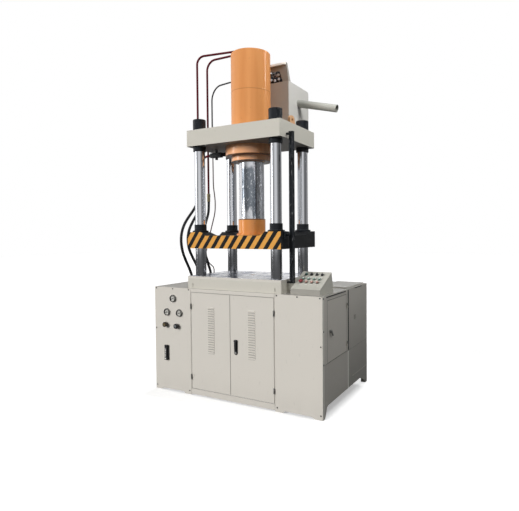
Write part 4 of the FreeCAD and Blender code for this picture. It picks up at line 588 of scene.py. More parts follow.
def block(name, low, high, bevel, segments=2):
    """A cube set to two corners, with its edges bevelled."""
    low, high = Vector(low), Vector(high)
    piece = cube(name, (low + high) / 2, high - low)
    bpy.ops.mesh.bevel(offset=bevel, segments=segments, affect="EDGES")
    close_mesh()
    return piece


def again(piece, name, matrix):
    """A copy with its own mesh, put somewhere else."""
    copy = piece.copy()
    copy.data = piece.data.copy()
    copy.name = copy.data.name = name
    bpy.context.scene.collection.objects.link(copy)
    return place(copy, matrix)


def repeat(piece, places):
    """Copies of a piece in all its places, instead of the piece itself."""
    copies = [again(piece, piece.name + "_copy", matrix) for matrix in places]
    bpy.data.objects.remove(piece)
    return copies


def rope(name, kind, route, radius, rounding):
    """A round curve along a route."""
    drop_selection()
    curve = bpy.data.curves.new(name, "CURVE")
    curve.dimensions = "3D"
    spline = curve.splines.new(kind)
    spline.points.add(len(route) - 1)
    for knot, point in zip(spline.points, route):
        knot.co = (*point, 1.0)
    curve.bevel_depth = radius
    curve.bevel_resolution = rounding
    curve.use_fill_caps = True
    piece = bpy.data.objects.new(name, curve)
    bpy.context.scene.collection.objects.link(piece)
    return piece


def join(pieces, name):
    """Make one piece of several."""
    drop_selection()
    for piece in pieces:
        piece.select_set(True)
    bpy.context.view_layer.objects.active = pieces[0]
    if len(pieces) > 1:
        bpy.ops.object.join()
    piece = bpy.context.object
    piece.name = piece.data.name = name
    return piece


def hand_over(piece, finish, body="press_frame"):
    """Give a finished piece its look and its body."""
    piece.data.materials.clear()
    piece.data.materials.append(finish.material)
    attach(piece, body)


def on_front(x, z, off=0.0):
    """From a piece drawn up along +Z to the front panels, facing the viewer."""
    return Matrix.Translation((x, FRONT - off, z)) @ Matrix.Rotation(math.pi / 2, 4, "X")


def on_desk(x, row):
    """From a piece drawn up along +Z to a row of the sloped desk."""
    spot = Vector((x, DESK_FOOT.y, DESK_FOOT.z)) + DESK_UP * row
    return Matrix.Translation(spot) @ Matrix.Rotation(DESK_SLOPE, 4, "X")


def lamp(kind, name, energy, aim, location=(0, 0, 0), **looks):
    """A light that shines along aim and shows in no reflection."""
    drop_selection()
    turn = Vector(aim).to_track_quat("-Z", "Y").to_euler()
    bpy.ops.object.light_add(type=kind, location=location, rotation=turn)
    light = bpy.context.object
    light.name = name
    light.visible_glossy = False
    light.data.energy = energy
    for key, value in looks.items():
        setattr(light.data, key, value)


# ---------------------------------------------------------------- operators: camera and hoses
class PRESS_OT_camera(Operator):
    """Set the camera where the photograph was taken from"""
    bl_idname = "press.camera"
    bl_label = "Camera"

    def execute(self, context):
        drop_selection()
        turn = Matrix()
        for angle, letter in CAMERA_TURNS:
            turn = turn @ Matrix.Rotation(math.radians(angle), 4, letter)
        bpy.ops.object.camera_add(location=CAMERA_PLACE, rotation=turn.to_euler())
        camera = context.object
        camera.name = "photo_camera"
        camera.data.sensor_fit = "HORIZONTAL"
        camera.data.sensor_width = SENSOR_WIDTH
        camera.data.lens = CAMERA_LENS
        camera.data.shift_x, camera.data.shift_y = CAMERA_SHIFT
        context.scene.camera = camera
        return {"FINISHED"}


class PRESS_OT_hoses(Operator):
    """Hang the three rubber hoses from the pipe couplings to the left cabinet"""
    bl_idname = "press.hoses"
    bl_label = "Hoses"

    def execute(self, context):
        colours, sizes, _ = settings(context)
        finish = Finish("hose_rubber", colours.rubber, 0.48, specular_ior_level=0.4)
        cloth = finish.noise(240.0, 2.0)
        dust = finish.noise(11.0, 4.0)
        finish.over((dust - 0.42) * 0.5, (0.05, 0.05, 0.052))
        finish.feed("Roughness", dust * 0.3 + 0.3)
        finish.relief(cloth, 0.0005, 0.4)
        for node, route in HOSE_ROUTES.items():
            points = [(HOSE_PLANE, *point) for point in route]
            piece = rope("rubber_" + node, "NURBS", points, sizes.hose / 2, 6)
            piece.data.resolution_u = 12
            spline = piece.data.splines[0]
            spline.order_u = 3
            spline.use_endpoint_u = True
            piece.data.materials.append(finish.material)
            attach(piece, "press_frame")
            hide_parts(node)
        return {"FINISHED"}


# ---------------------------------------------------------------- operators: finishes of the CAD nodes
def hinges(finish):
    """1 on the knuckles of the doors' hinges, which stand forward of the sheet."""
    knuckles = (finish.axis("X").size() - HINGE_X).size().below(KNUCKLE)
    return knuckles * finish.axis("Y").below(FRONT - 0.0004)


def front_door(name, cream, bank, edges, knuckles):
    """Door paint with painted shade in the louvre slots and along its edges, and its hinges' knuckles."""
    door = painted(name, cream, dirt=0.15)
    joint_and_shade_dark = toned(cream, 0.22)
    low, high = LOUVRE_Z
    # The louvre slots made dark: painted shade inside the openings.
    slots = ((door.axis("Z") - LOUVRE_ROW) / LOUVRE_PITCH + LOUVRE_PHASE).math("FRACT").below(LOUVRE_OPEN)
    slots = slots * (door.axis("X") - bank).size().below(LOUVRE_HALF)
    slots = slots * door.inside((None, None, low), (None, FRONT + 0.0005, high))
    door.over(slots * 0.75, joint_and_shade_dark)
    # A dark band along the door's edges: painted shade of the gaps round it.
    door.over(door.border(*edges, *DOOR_Z) * 0.45, joint_and_shade_dark)
    door.over(hinges(door), knuckles)
    return door


class PRESS_OT_cabinet_finish(Operator):
    """Paint the cabinets, doors, panels and desk"""
    bl_idname = "press.cabinet_finish"
    bl_label = "Cabinet finish"

    def execute(self, context):
        cream = settings(context)[0].cream
        joint_and_shade_dark = toned(cream, 0.22)
        front_edge = -0.412

        sheet = painted("cream_sheet_paint", cream, dirt=0.15)
        groove = sheet.inside((None, None, WALL_SEAM_Z[0]), (None, None, WALL_SEAM_Z[1]))
        groove = groove + sheet.inside((None, WALL_SEAM_Y[0], None), (None, WALL_SEAM_Y[1], 0.485))
        side = (sheet.axis("X").size() - SIDE).size().below(0.0022) * sheet.axis("Y").above(front_edge)
        sheet.over(groove * side, joint_and_shade_dark)
        sheet.over(hinges(sheet), (0.14, 0.14, 0.13))
        # Tops of the right cabinet darker: painted shade.
        sheet.over(sheet.facing("Z").above(0.9) * sheet.axis("X").above(0.5) * 0.77, toned(cream, 0.35))
        # Rear part of the right side wall darker, more so towards the bottom: painted shade.
        sheet.over(sheet.on_wall(0.232) * (1.0 - sheet.axis("Z") * 0.8), toned(cream, 0.42))
        # Lower front sheet of the right side wall darker: painted shade.
        sheet.over(sheet.on_wall(high=WALL_SEAM_Y[0], top=0.48) * 0.3, toned(cream, 0.42))
        # A band along the lower seam and the front flange of the side wall made lighter: painted highlight.
        seam_highlight = sheet.on_wall(0.2150, 0.2450, 0.10, 0.478) * 0.8
        flange_highlight = sheet.on_wall(-0.416, -0.378) * 0.5
        sheet.over(seam_highlight + flange_highlight, toned(cream, 1.6))
        dress(sheet, "left_cabinet", "right_cabinet", "right_side_wall", "centre_surround", "front_panels")
        dress(painted("under_frame_paint", toned(cream, 0.82), 0.5, dirt=0.4), "base_frame")

        dress(front_door("door_paint", cream, -0.235, (-0.484, -0.0065), (0.14, 0.14, 0.13)), "left_door")
        door = front_door("lock_door_paint", cream, 0.2425, (-0.0035, 0.486), (0.25, 0.25, 0.24))
        (left, right), (low, high) = HANDLE_DISH
        door.over(door.inside((left, None, low), (right, FRONT - 0.0003, high)), (0.012, 0.012, 0.013))
        dress(door, "right_door")
        door = painted("side_door_paint", cream, dirt=0.15)
        (near, low), (far, high) = SIDE_DOOR
        # Dark outside the door's rectangle: painted shade of the seam round the door.
        door.over((1.0 - door.inside((None, near, low), (None, far, high))) * 0.7, joint_and_shade_dark)
        dress(door, "side_door")

        desk = painted("desk_paint", toned(cream, 0.94, 0.97, 0.95), 0.4)
        height = desk.add("ShaderNodeVectorMath", {"operation": "DOT_PRODUCT"},
                          {0: desk.spot(), 1: tuple(DESK_NORMAL)}, output="Value")
        proud = height.above(DESK_FOOT.dot(DESK_NORMAL) + 0.0006)
        desk.over(proud, (0.46, 0.46, 0.44))
        # Front face of the desk darker: painted shade.
        desk.over(desk.facing("Y").below(-0.9) * 0.8, toned(cream, 0.4))
        desk.feed("Metallic", proud * 0.9)
        dress(desk, "console")
        dress(machined("handle_zinc", (0.24, 0.24, 0.23), 0.35), "side_handle")
        dress(machined("screw_steel", (0.09, 0.09, 0.09), 0.4), "panel_screws")
        dress(moulded("handle_black", (0.014, 0.014, 0.016), 0.35), "door_handle")
        return {"FINISHED"}


class PRESS_OT_door_trim(Operator):
    """Fit the core of the door lock and the seals of the side walls"""
    bl_idname = "press.door_trim"
    bl_label = "Door trim"

    def execute(self, context):
        rubber = moulded("seal_rubber", (0.018, 0.018, 0.018), 0.55)
        core = turn_up("lock_core", [(0.0108, 0.0), (0.0108, 0.0010), (0.0098, 0.0017), (0.0058, 0.0017),
                                     (0.0050, 0.0009)], 28)
        place(core, on_front(*LOCK_PLACE, 0.0091))
        hand_over(core, machined("lock_zinc", (0.72, 0.72, 0.70), 0.25), "right_door")

        thickness, rim, swell = 0.0032, 0.0022, 0.0014
        for side, name, strips in ((1, "right", (SEAM_SEAL, *TOP_SEALS)), (-1, "left", (SEAM_SEAL,))):
            pieces = []
            for (near, far), (low, high) in strips:
                centre = (side * (SIDE + 0.0009), (near + far) / 2, (low + high) / 2)
                seal = cube("wall_seal", centre, (thickness, far - near, high - low))
                pick(seal, lambda face: face.normal.x * side > 0.5)
                bpy.ops.mesh.inset(thickness=rim)
                bpy.ops.transform.translate(value=(side * swell, 0, 0))
                close_mesh()
                pieces.append(seal)
            hand_over(join(pieces, "wall_seal_" + name), rubber)
        return {"FINISHED"}


class PRESS_OT_frame_finish(Operator):
    """Finish the bed, table, columns, nuts, crown and lifting lugs"""
    bl_idname = "press.frame_finish"
    bl_label = "Frame finish"

    def execute(self, context):
        colours, _, _ = settings(context)
        beam = painted("beam_paint", toned(colours.cream, 0.90, 0.91, 0.89), 0.45, wave=0.8)
        # Undersides of the bed and the crown made dark: painted shade.
        beam.over(beam.facing("Z").below(-0.9) * 0.8, (0.22, 0.215, 0.20))
        dress(beam, "bed", "crown")
        table = ground("table_steel", (0.90, 0.905, 0.94))
        low, high = TABLE_EDGE_Z
        edge = table.axis("Z").below(high) * table.axis("Z").above(low)
        table.over(edge * table.facing("Z").below(0.5), colours.cream)
        table.feed("Metallic", 0.9 - edge * 0.9)
        dress(table, "table_plate")
        dress(chromed("column_chrome", colours.chrome), "columns")
        dress(ram_chrome("ram_chrome", colours.chrome), "ram")
        dress(black_enamel("nut_enamel", colours.black), "column_nuts", "guide_bushes")
        dress(black_enamel("rail_enamel", colours.black, 0.45, 0.9, 0.6), "striker", "switch_rail")
        dress(enamel("lug_enamel", toned(colours.orange, 0.88, 1.2, 2.0), 0.3), "lifting_lugs")
        return {"FINISHED"}


class PRESS_OT_weld_beads(Operator):
    """Lay the weld beads of the lugs, the tank's gussets and the cylinder's head"""
    bl_idname = "press.weld_beads"
    bl_label = "Weld beads"

    def execute(self, context):
        colours, sizes, _ = settings(context)
        radius = sizes.bead
        low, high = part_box("lifting_lugs")
        foot = low.z + radius * 0.1
        beads = []
        for side in (-1, 1):
            middle = -side * LUG_Y
            for x in (high.x, high.x - LUG_THICK):
                beads.append(bead("lug_bead", (side * x, middle - LUG_HALF, foot),
                                  (side * x, middle + LUG_HALF, foot), radius))
        finish = enamel("lug_bead_enamel", toned(colours.orange, 0.9))
        hand_over(join(beads, "lug_beads"), finish)

        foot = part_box("top_tank")[0].z + radius * 0.1
        beads = [bead("tank_bead", (-0.325, 0.218, foot), (0.325, 0.218, foot), radius)]
        for x in (-0.330, 0.330):
            beads.append(bead("tank_bead", (x, 0.222, foot), (x, 0.376, foot), radius))
        finish = painted("tank_bead_paint", toned(colours.cream, 0.92))
        hand_over(join(beads, "tank_beads"), finish)

        seam = hoop_up("head_weld", [(0.2050, 3.1128), (0.2064, 3.1136), (0.2070, HEAD_WELD_Z),
                                     (0.2064, 3.1164), (0.2050, 3.1172)], 96)
        hand_over(seam, enamel("head_weld_enamel", toned(colours.orange, 0.55)))
        return {"FINISHED"}


class PRESS_OT_cylinder_finish(Operator):
    """Finish the main cylinder, gland, collar, platen and the lower cylinder"""
    bl_idname = "press.cylinder_finish"
    bl_label = "Cylinder finish"

    def execute(self, context):
        colours, sizes, _ = settings(context)
        orange = colours.orange
        barrel = enamel("cylinder_enamel", toned(orange, 0.89, 0.90, 0.96), 0.5)
        barrel.over((barrel.axis("Z") - HEAD_WELD_Z).size().below(0.004) * 0.45, toned(orange, 0.45))
        dress(barrel, "cylinder_body")
        gland = enamel("gland_enamel", toned(orange, 1.14, 1.35, 2.1), 0.6, 0.35, 1.0, 0.12)
        # Downward faces of the gland made near black: painted shade.
        gland.over(gland.facing("Z").below(-0.6) * 0.85, toned(orange, 0.12))
        dress(gland, "cylinder_gland")
        collar = enamel("collar_enamel", toned(orange, 0.98, 0.90, 0.74), 0.4, 0.35, 0.8)
        # Top rim of the collar, against the ram, made near black: painted shade.
        collar.over(collar.axis("Z").above(COLLAR_RIM_Z) * 0.85, (0.09, 0.06, 0.035))
        dress(collar, "ram_collar")
        dress(enamel("lower_cylinder_enamel", orange), "ejector_cylinder")
        dress(machined("bolt_black", (0.06, 0.06, 0.065), 0.38), "gland_bolts")

        platen = black_enamel("platen_enamel", toned(colours.black, 1.0, 0.9, 0.8), 0.5, specular=0.2)
        along = (platen.axis("X") - platen.axis("Z") * sizes.stripe_lean) / sizes.stripe_pitch
        edge = (along + STRIPE_START).math("FRACT") + (platen.noise(90.0, 4.0) - 0.5) * 0.04
        stripe = edge.above(0.0) * edge.below(STRIPE_SHARE) * platen.axis("Y").below(PLATEN_FRONT)
        tone = platen.blend((platen.noise(25.0, 4.0) - 0.4) * 0.8, colours.stripe,
                            toned(colours.stripe, 0.86, 0.74, 0.75))
        platen.over(stripe, tone)
        dress(platen, "platen")
        return {"FINISHED"}


class PRESS_OT_top_finish(Operator):
    """Finish the tank, hood, overflow stub and prefill valve"""
    bl_idname = "press.top_finish"
    bl_label = "Tank finish"

    def execute(self, context):
        cream = settings(context)[0].cream
        tank = painted("tank_paint", toned(cream, 0.98, 1.0, 1.04), 0.4, wave=0.6)
        # Front face of the tank darker: painted shadow of the cylinder.
        tank.over(tank.facing("Y").below(-0.9) * 0.5, toned(cream, 0.45))
        dress(tank, "top_tank")
        # The hood's cream at about half its brightness: a shaded copy of the paint, painted shade.
        dress(painted("hood_paint", toned(cream, 0.52), 0.4, wave=0.6), "tank_hood")
        stub = painted("stub_paint", toned(cream, 0.58, 0.61, 0.61), 0.4)
        # The tube's outer end made near black: painted shade of its open bore.
        stub.over(stub.facing("X").above(0.9), (0.08, 0.08, 0.075))
        dress(stub, "breather_tube")
        valve = machined("valve_steel", (0.10, 0.115, 0.14), 0.3)
        valve.over(valve.noise(34.0, 2.0).ramp(0.52, 0.58), (0.62, 0.65, 0.70))
        coil = valve.axis("Y").below(COIL_FRONT) * valve.axis("X").size().above(COIL_SIDE)
        coil = coil * valve.axis("Z").above(COIL_BOTTOM)
        valve.over(coil, (0.016, 0.017, 0.019))
        valve.feed("Metallic", (1.0 - coil) * 0.35)
        dress(valve, "prefill_valve")
        return {"FINISHED"}


class PRESS_OT_valve_fittings(Operator):
    """Fit the coil nuts and cable plugs of the pilot valves"""
    bl_idname = "press.valve_fittings"
    bl_label = "Valve fittings"

    def execute(self, context):
        nut = turn_up("coil_nut", [(0.0118, 0.0), (0.0128, 0.0012), (0.0128, 0.0070), (0.0112, 0.0084),
                                   (0.0060, 0.0084), (0.0055, 0.0066)], 6)
        place(nut, Matrix.Diagonal((1.15, 1.15, 1, 1)))
        turn = Matrix.Rotation(math.pi / 2, 4, "X")
        nuts = repeat(nut, [Matrix.Translation((side * x, y, z)) @ turn
                            for x, y, z in COIL_ENDS for side in (-1, 1)])
        # Pale bluish colour that is no metal: painted reflection of the sky in the zinc.
        finish = machined("nut_zinc", (0.84, 0.90, 0.98), 0.35, 0.0)
        hand_over(join(nuts, "coil_nuts"), finish)

        plug = block("cable_plug", (-0.012, 0.2385, 0.0), (0.012, 0.2605, 0.016), 0.002)
        open_mesh()
        pick(plug, lambda face: face.normal.y < -0.9 and face.calc_area() > 0.0001)
        bpy.ops.mesh.inset(thickness=0.003)
        bpy.ops.mesh.extrude_region_move(TRANSFORM_OT_translate={"value": (0, -0.004, 0)})
        close_mesh()
        plugs = repeat(plug, [Matrix.Translation((side * x, 0, z))
                              for x, z in PLUG_PLACES for side in (-1, 1)])
        hand_over(join(plugs, "cable_plugs"), moulded("plug_teal", linear(58, 84, 104)))
        return {"FINISHED"}


class PRESS_OT_hood_lip(Operator):
    """Fold the stiffening lip along the hood's top edge, clear of the cylinder"""
    bl_idname = "press.hood_lip"
    bl_label = "Hood lip"

    def execute(self, context):
        x, fold = 0.212, 0.021
        lip = cube("hood_lip", (x, 0.2045, 3.443), (0.176, 0.027, 0.030))
        pick(lip, lambda edge: all(v.co.y < 0.2 and v.co.z > 3.45 for v in edge.verts), "edges")
        bpy.ops.transform.translate(value=(0, fold, 0))
        bpy.ops.mesh.select_all(action="SELECT")
        bpy.ops.mesh.bevel(offset=0.002, segments=2, affect="EDGES")
        close_mesh()
        other = again(lip, "hood_lip_left", Matrix.Translation((-2 * x, 0, 0)))
        # Cream made 1.35 times brighter: painted light on the lip.
        finish = painted("lip_paint", toned(settings(context)[0].cream, 1.35), 0.35)
        hand_over(join([lip, other], "hood_lips"), finish)
        return {"FINISHED"}


class PRESS_OT_pipe_finish(Operator):
    """Finish the rigid lines and their fittings"""
    bl_idname = "press.pipe_finish"
    bl_label = "Pipe finish"

    def execute(self, context):
        colours, _, _ = settings(context)
        dress(tube_paint("tube_enamel", colours.tube), "oil_pipes")
        dress(tube_paint("pilot_enamel", toned(colours.tube, 0.5)), "pilot_line")
        brass = machined("fitting_brass", (0.36, 0.30, 0.18), 0.34)
        steel = brass.axis("Z").above(COUPLING_TOP)
        brass.over(steel, (0.03, 0.03, 0.033))
        brass.feed("Metallic", 1.0 - steel * 0.7)
        dress(brass, "pipe_fittings")
        return {"FINISHED"}


class PRESS_OT_pilot_sleeve(Operator):
    """Draw the rubber sleeve over the thin line, from the cylinder down to the crown"""
    bl_idname = "press.pilot_sleeve"
    bl_label = "Pilot sleeve"

    def execute(self, context):
        corners = [Vector(corner) for corner in SLEEVE_CORNERS]
        route = [corners[0]]
        for i, (bend, steps) in enumerate(SLEEVE_BENDS, start=1):
            before, point, after = corners[i - 1:i + 2]
            back, on = (before - point).normalized(), (after - point).normalized()
            run = bend * math.tan((math.pi - back.angle(on)) / 2)
            centre = point + (back + on).normalized() * math.hypot(bend, run)
            first, last = point + back * run - centre, point + on * run - centre
            for k in range(steps + 1):
                route.append(centre + first.slerp(last, k / steps).normalized() * bend)
        route.append(corners[-1])
        radius, ring_pitch, rings_end = 0.0082, 0.006, 3.12
        piece = rope("pilot_sleeve", "POLY", route, radius, 4)
        piece.select_set(True)
        context.view_layer.objects.active = piece
        bpy.ops.object.convert(target="MESH")
        bpy.ops.object.shade_smooth_by_angle(angle=math.radians(40))
        sleeve = moulded("sleeve_rubber", linear(40, 40, 42), 0.5)
        wraps = (sleeve.axis("Z") / ring_pitch).math("FRACT").ramp(0.3, 0.7)
        sleeve.relief(wraps * sleeve.axis("Z").below(rings_end), 0.0008, 0.5)
        hand_over(context.object, sleeve)
        return {"FINISHED"}


class PRESS_OT_control_finish(Operator):
    """Finish the buttons, switches, gauges, knobs and the oil level gauge"""
    bl_idname = "press.control_finish"
    bl_label = "Control finish"

    def execute(self, context):
        black = moulded("knob_black", (0.012, 0.012, 0.014), 0.35)
        dress(black, "selector_2", "selector_3", "selector_4", "valve_knob_2")
        dress(moulded("selector_teal", linear(46, 84, 78), 0.35), "selector_1")
        dress(moulded("knob_brown", (0.035, 0.026, 0.018)), "valve_knob_1")
        dress(moulded("button_teal", linear(118, 146, 134), 0.35),
              "start_button_1", "start_button_2", "start_button_3", "start_button_4")
        dress(moulded("mushroom_red", linear(124, 56, 58)), "emergency_stop")
        dress(moulded("button_salmon", linear(160, 122, 112), 0.35),
              "stop_button_1", "stop_button_2", "stop_button_3")
        dress(machined("gauge_case", (0.30, 0.30, 0.285), 0.35), "gauges")
        dress(moulded("needle_black", (0.01, 0.01, 0.01)), "needle_1", "needle_2", "needle_3")

        level = moulded("level_body", (0.02, 0.02, 0.022), 0.35)
        x, low, high = LEVEL_PLACE
        glass = level.inside((None, None, low + 0.030), (x + 0.0030, FRONT - 0.0065, high - 0.030))
        bars = ((level.axis("Z") - low - 0.0368) / LEVEL_PITCH).math("FRACT").below(0.23)
        level.over(glass, level.blend(bars, (0.78, 0.78, 0.76), (0.03, 0.03, 0.03)))
        dress(level, "oil_level_gauge")
        return {"FINISHED"}


class PRESS_OT_level_scale(Operator):
    """Fit the oil level gauge's white scale, its ticks, a guard on its left and a black block for a painted
    shadow on its right, and the filler dot
    """
    bl_idname = "press.level_scale"
    bl_label = "Level scale"

    def execute(self, context):
        x, low, high = LEVEL_PLACE
        face = FRONT - 0.006
        scale = block("level_scale", (x - 0.0190, face - 0.0012, low + 0.028),
                      (x - 0.0070, face, high - 0.028), 0.0004)
        tick = block("level_tick", (x - 0.0190, face - 0.0018, -0.0032),
                     (x - 0.0105, face - 0.0010, 0.0032), 0.0002, 1)
        dark = repeat(tick, [Matrix.Translation((0, 0, low + 0.040 + LEVEL_PITCH * i)) for i in range(4)])
        # Black blocks beside the gauge: a guard on the left, and on the right a painted shadow cast beside
        # the gauge.
        for left, right in ((x - 0.0275, x - 0.0194), (x + 0.0203, x + 0.0300)):
            dark.append(block("level_guard", (left, FRONT - 0.0085, low + 0.003),
                              (right, FRONT, high - 0.003), 0.0012))
        dot = turn_up("level_dot", [(0.0080, 0.0), (0.0080, 0.0010), (0.0072, 0.0016),
                                    (0.0020, 0.0016)], 24)
        place(dot, on_front(x, low + 0.015, 0.0268))
        white = moulded("scale_white", (0.78, 0.78, 0.76))
        hand_over(join([scale, dot], "level_scale"), white)
        black = moulded("guard_black", (0.02, 0.02, 0.02), 0.45)
        hand_over(join(dark, "level_guard"), black)
        return {"FINISHED"}


class PRESS_OT_dials(Operator):
    """Fit the gauges' dials, ticks, numbers and bezel rings, and the knobs' collars"""
    bl_idname = "press.dials"
    bl_label = "Dials"

    def execute(self, context):
        face = turn_up("dial_face", [(0.0288, 0.0082), (0.0288, 0.0088), (0.0284, 0.0092)], 48)
        ring = hoop_up("bezel_ring", [(0.0296, 0.0178), (0.0300, 0.0190), (0.0316, 0.0196),
                                      (0.0334, 0.0190), (0.0340, 0.0172), (0.0330, 0.0176)], 48)
        tick = block("dial_tick", (-0.0004, 0.0225, 0.0091), (0.0004, 0.0265, 0.0095), 0.0001, 1)
        mark = block("dial_mark", (-0.0008, 0.0205, 0.0091), (0.0008, 0.0265, 0.0095), 0.0001, 1)
        number_size, number_ring = 0.0068, 0.0165
        spots = [on_front(x, z) for x, z in DIAL_PLACES]
        faces, rings, prints = repeat(face, spots), repeat(ring, spots), []
        for spot in spots:
            for i in range((DIAL_NUMBERS - 1) * DIAL_DIVISIONS + 1):
                turn = Matrix.Rotation(math.radians(DIAL_START - DIAL_STEP / DIAL_DIVISIONS * i), 4, "Z")
                prints.append(again(tick if i % DIAL_DIVISIONS else mark, "dial_tick_copy", spot @ turn))
            for i in range(DIAL_NUMBERS):
                angle = math.radians(DIAL_START - DIAL_STEP * i)
                drop_selection()
                bpy.ops.object.text_add()
                text = context.object.data
                text.body = str(DIAL_DIVISIONS * i)
                text.size = number_size
                text.extrude = 0.0001
                text.align_x = text.align_y = "CENTER"
                bpy.ops.object.convert(target="MESH")
                step = Vector((-math.sin(angle) * number_ring, math.cos(angle) * number_ring, 0.0094))
                prints.append(place(context.object, spot @ Matrix.Translation(step)))
        for piece in (tick, mark):
            bpy.data.objects.remove(piece)
        white = moulded("dial_white", (0.56, 0.55, 0.51), 0.45)
        dark = machined("bezel_dark", (0.14, 0.14, 0.135), 0.3)
        black = moulded("print_black", (0.01, 0.01, 0.01), 0.5)
        hand_over(join(faces, "dial_faces"), white)
        hand_over(join(rings, "bezel_rings"), dark)
        hand_over(join(prints, "dial_prints"), black)

        collar = hoop_up("knob_collar", [(0.0078, 0.0001), (0.0150, 0.0001), (0.0150, 0.0008),
                                         (0.0140, 0.0012), (0.0078, 0.0012)], 32)
        collars = join(repeat(collar, [on_front(x, z) for x, z in KNOB_PLACES]), "knob_collars")
        hand_over(collars, machined("collar_brass", (0.42, 0.33, 0.17), 0.3))
        tones = ((0.45, 0.36, 0.2), (0.42, 0.46, 0.47))
        for (x, z), body, tone in zip(KNOB_PLACES, ("valve_knob_1", "valve_knob_2"), tones):
            boss = turn_up("knob_boss", [(0.0125, 0.0352), (0.0125, 0.0368), (0.0112, 0.0378),
                                         (0.0050, 0.0378), (0.0044, 0.0366)], 28)
            place(boss, on_front(x, z))
            hand_over(boss, machined(body + "_boss", tone, 0.28), body)
        return {"FINISHED"}


class PRESS_OT_desk_fittings(Operator):
    """Fit the buttons' centres, the switches' pointers and the blank name plates of the desk"""
    bl_idname = "press.desk_fittings"
    bl_label = "Desk fittings"

    def execute(self, context):
        centre = turn_up("button_centre", [(0.0078, 0.0183), (0.0078, 0.0188), (0.0070, 0.0193),
                                           (0.0030, 0.0191)], 28)
        pale = moulded("centre_pale", (0.55, 0.58, 0.54), 0.35)
        salmon = moulded("centre_salmon", (0.60, 0.42, 0.37), 0.35)
        for kind, places, row, paint, slot in (("start", BUTTON_X, START_ROW, pale, "green_plastic"),
                                               ("stop", BUTTON_X[1:], STOP_ROW, salmon, "red_plastic")):
            for i, x in enumerate(places, start=1):
                cap = again(centre, "%s_centre_%d" % (kind, i), on_desk(x, row))
                hand_over(cap, paint, "%s_button_%d" % (kind, i))
        bpy.data.objects.remove(centre)

        pointer = block("pointer", (-0.0012, 0.002, 0.0224), (0.0012, 0.013, 0.0231), 0.0003, 1)
        white = moulded("pointer_white", (0.7, 0.7, 0.68))
        for i, x in enumerate(BUTTON_X, start=1):
            copy = again(pointer, "pointer_%d" % i, on_desk(x, SELECTOR_ROW))
            hand_over(copy, white, "selector_%d" % i)
        bpy.data.objects.remove(pointer)

        plate = cube("name_plate", (0, 0, 0.0005), (0.030, 0.0085, 0.001))
        pick(plate, lambda face: face.normal.z > 0.5)
        bpy.ops.mesh.inset(thickness=0.0006)
        bpy.ops.transform.translate(value=(0, 0, -0.0003))
        close_mesh()
        rows = (SELECTOR_ROW - 0.031, START_ROW + 0.024, STOP_ROW - 0.026)
        plates = join(repeat(plate, [on_desk(x, row) for x in BUTTON_X for row in rows]), "name_plates")
        hand_over(plates, moulded("plate_pale", (0.62, 0.62, 0.58)))
        return {"FINISHED"}


class PRESS_OT_inner_finish(Operator):
    """Finish the motor, pump and electrical plate inside the base"""
    bl_idname = "press.inner_finish"
    bl_label = "Inner finish"

    def execute(self, context):
        dress(painted("motor_paint", linear(70, 92, 112), 0.45), "pump_unit")
        plate = machined("plate_zinc", (0.52, 0.53, 0.52), 0.4)
        device = plate.axis("X").above(DEVICE_FACE)
        tone = plate.blend(plate.axis("Z").above(0.72), (0.50, 0.50, 0.47), (0.03, 0.03, 0.034))
        plate.over(device, tone)
        plate.feed("Metallic", 1.0 - device)
        dress(plate, "electric_plate")
        return {"FINISHED"}


class PRESS_OT_wiring_ducts(Operator):
    """Fit the slotted wiring ducts between the rows of the electrical plate"""
    bl_idname = "press.wiring_ducts"
    bl_label = "Wiring ducts"

    def execute(self, context):
        low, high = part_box("electric_plate")
        pitch = 0.010
        height, depth, margin = 0.026, 0.042, 0.012
        ducts = []
        for z in (0.722, 0.885):
            ducts.append(block("duct", (DEVICE_FACE, low.y + margin, z),
                               (DEVICE_FACE + depth, high.y - margin, z + height), 0.001, 1))
            ducts.append(block("duct_tooth", (DEVICE_FACE + 0.002, low.y + 0.014, z - 0.0016),
                               (DEVICE_FACE + 0.038, low.y + 0.020, z + height + 0.0016), 0.0005, 1))
            bpy.ops.object.modifier_add(type="ARRAY")
            row = context.object.modifiers[-1]
            row.use_relative_offset = False
            row.use_constant_offset = True
            row.constant_offset_displace = (0, pitch, 0)
            row.count = int((high.y - low.y - 0.04) / pitch)
            bpy.ops.object.modifier_apply(modifier=row.name)
        hand_over(join(ducts, "wiring_ducts"), moulded("duct_grey", (0.36, 0.37, 0.38), 0.5))
        return {"FINISHED"}


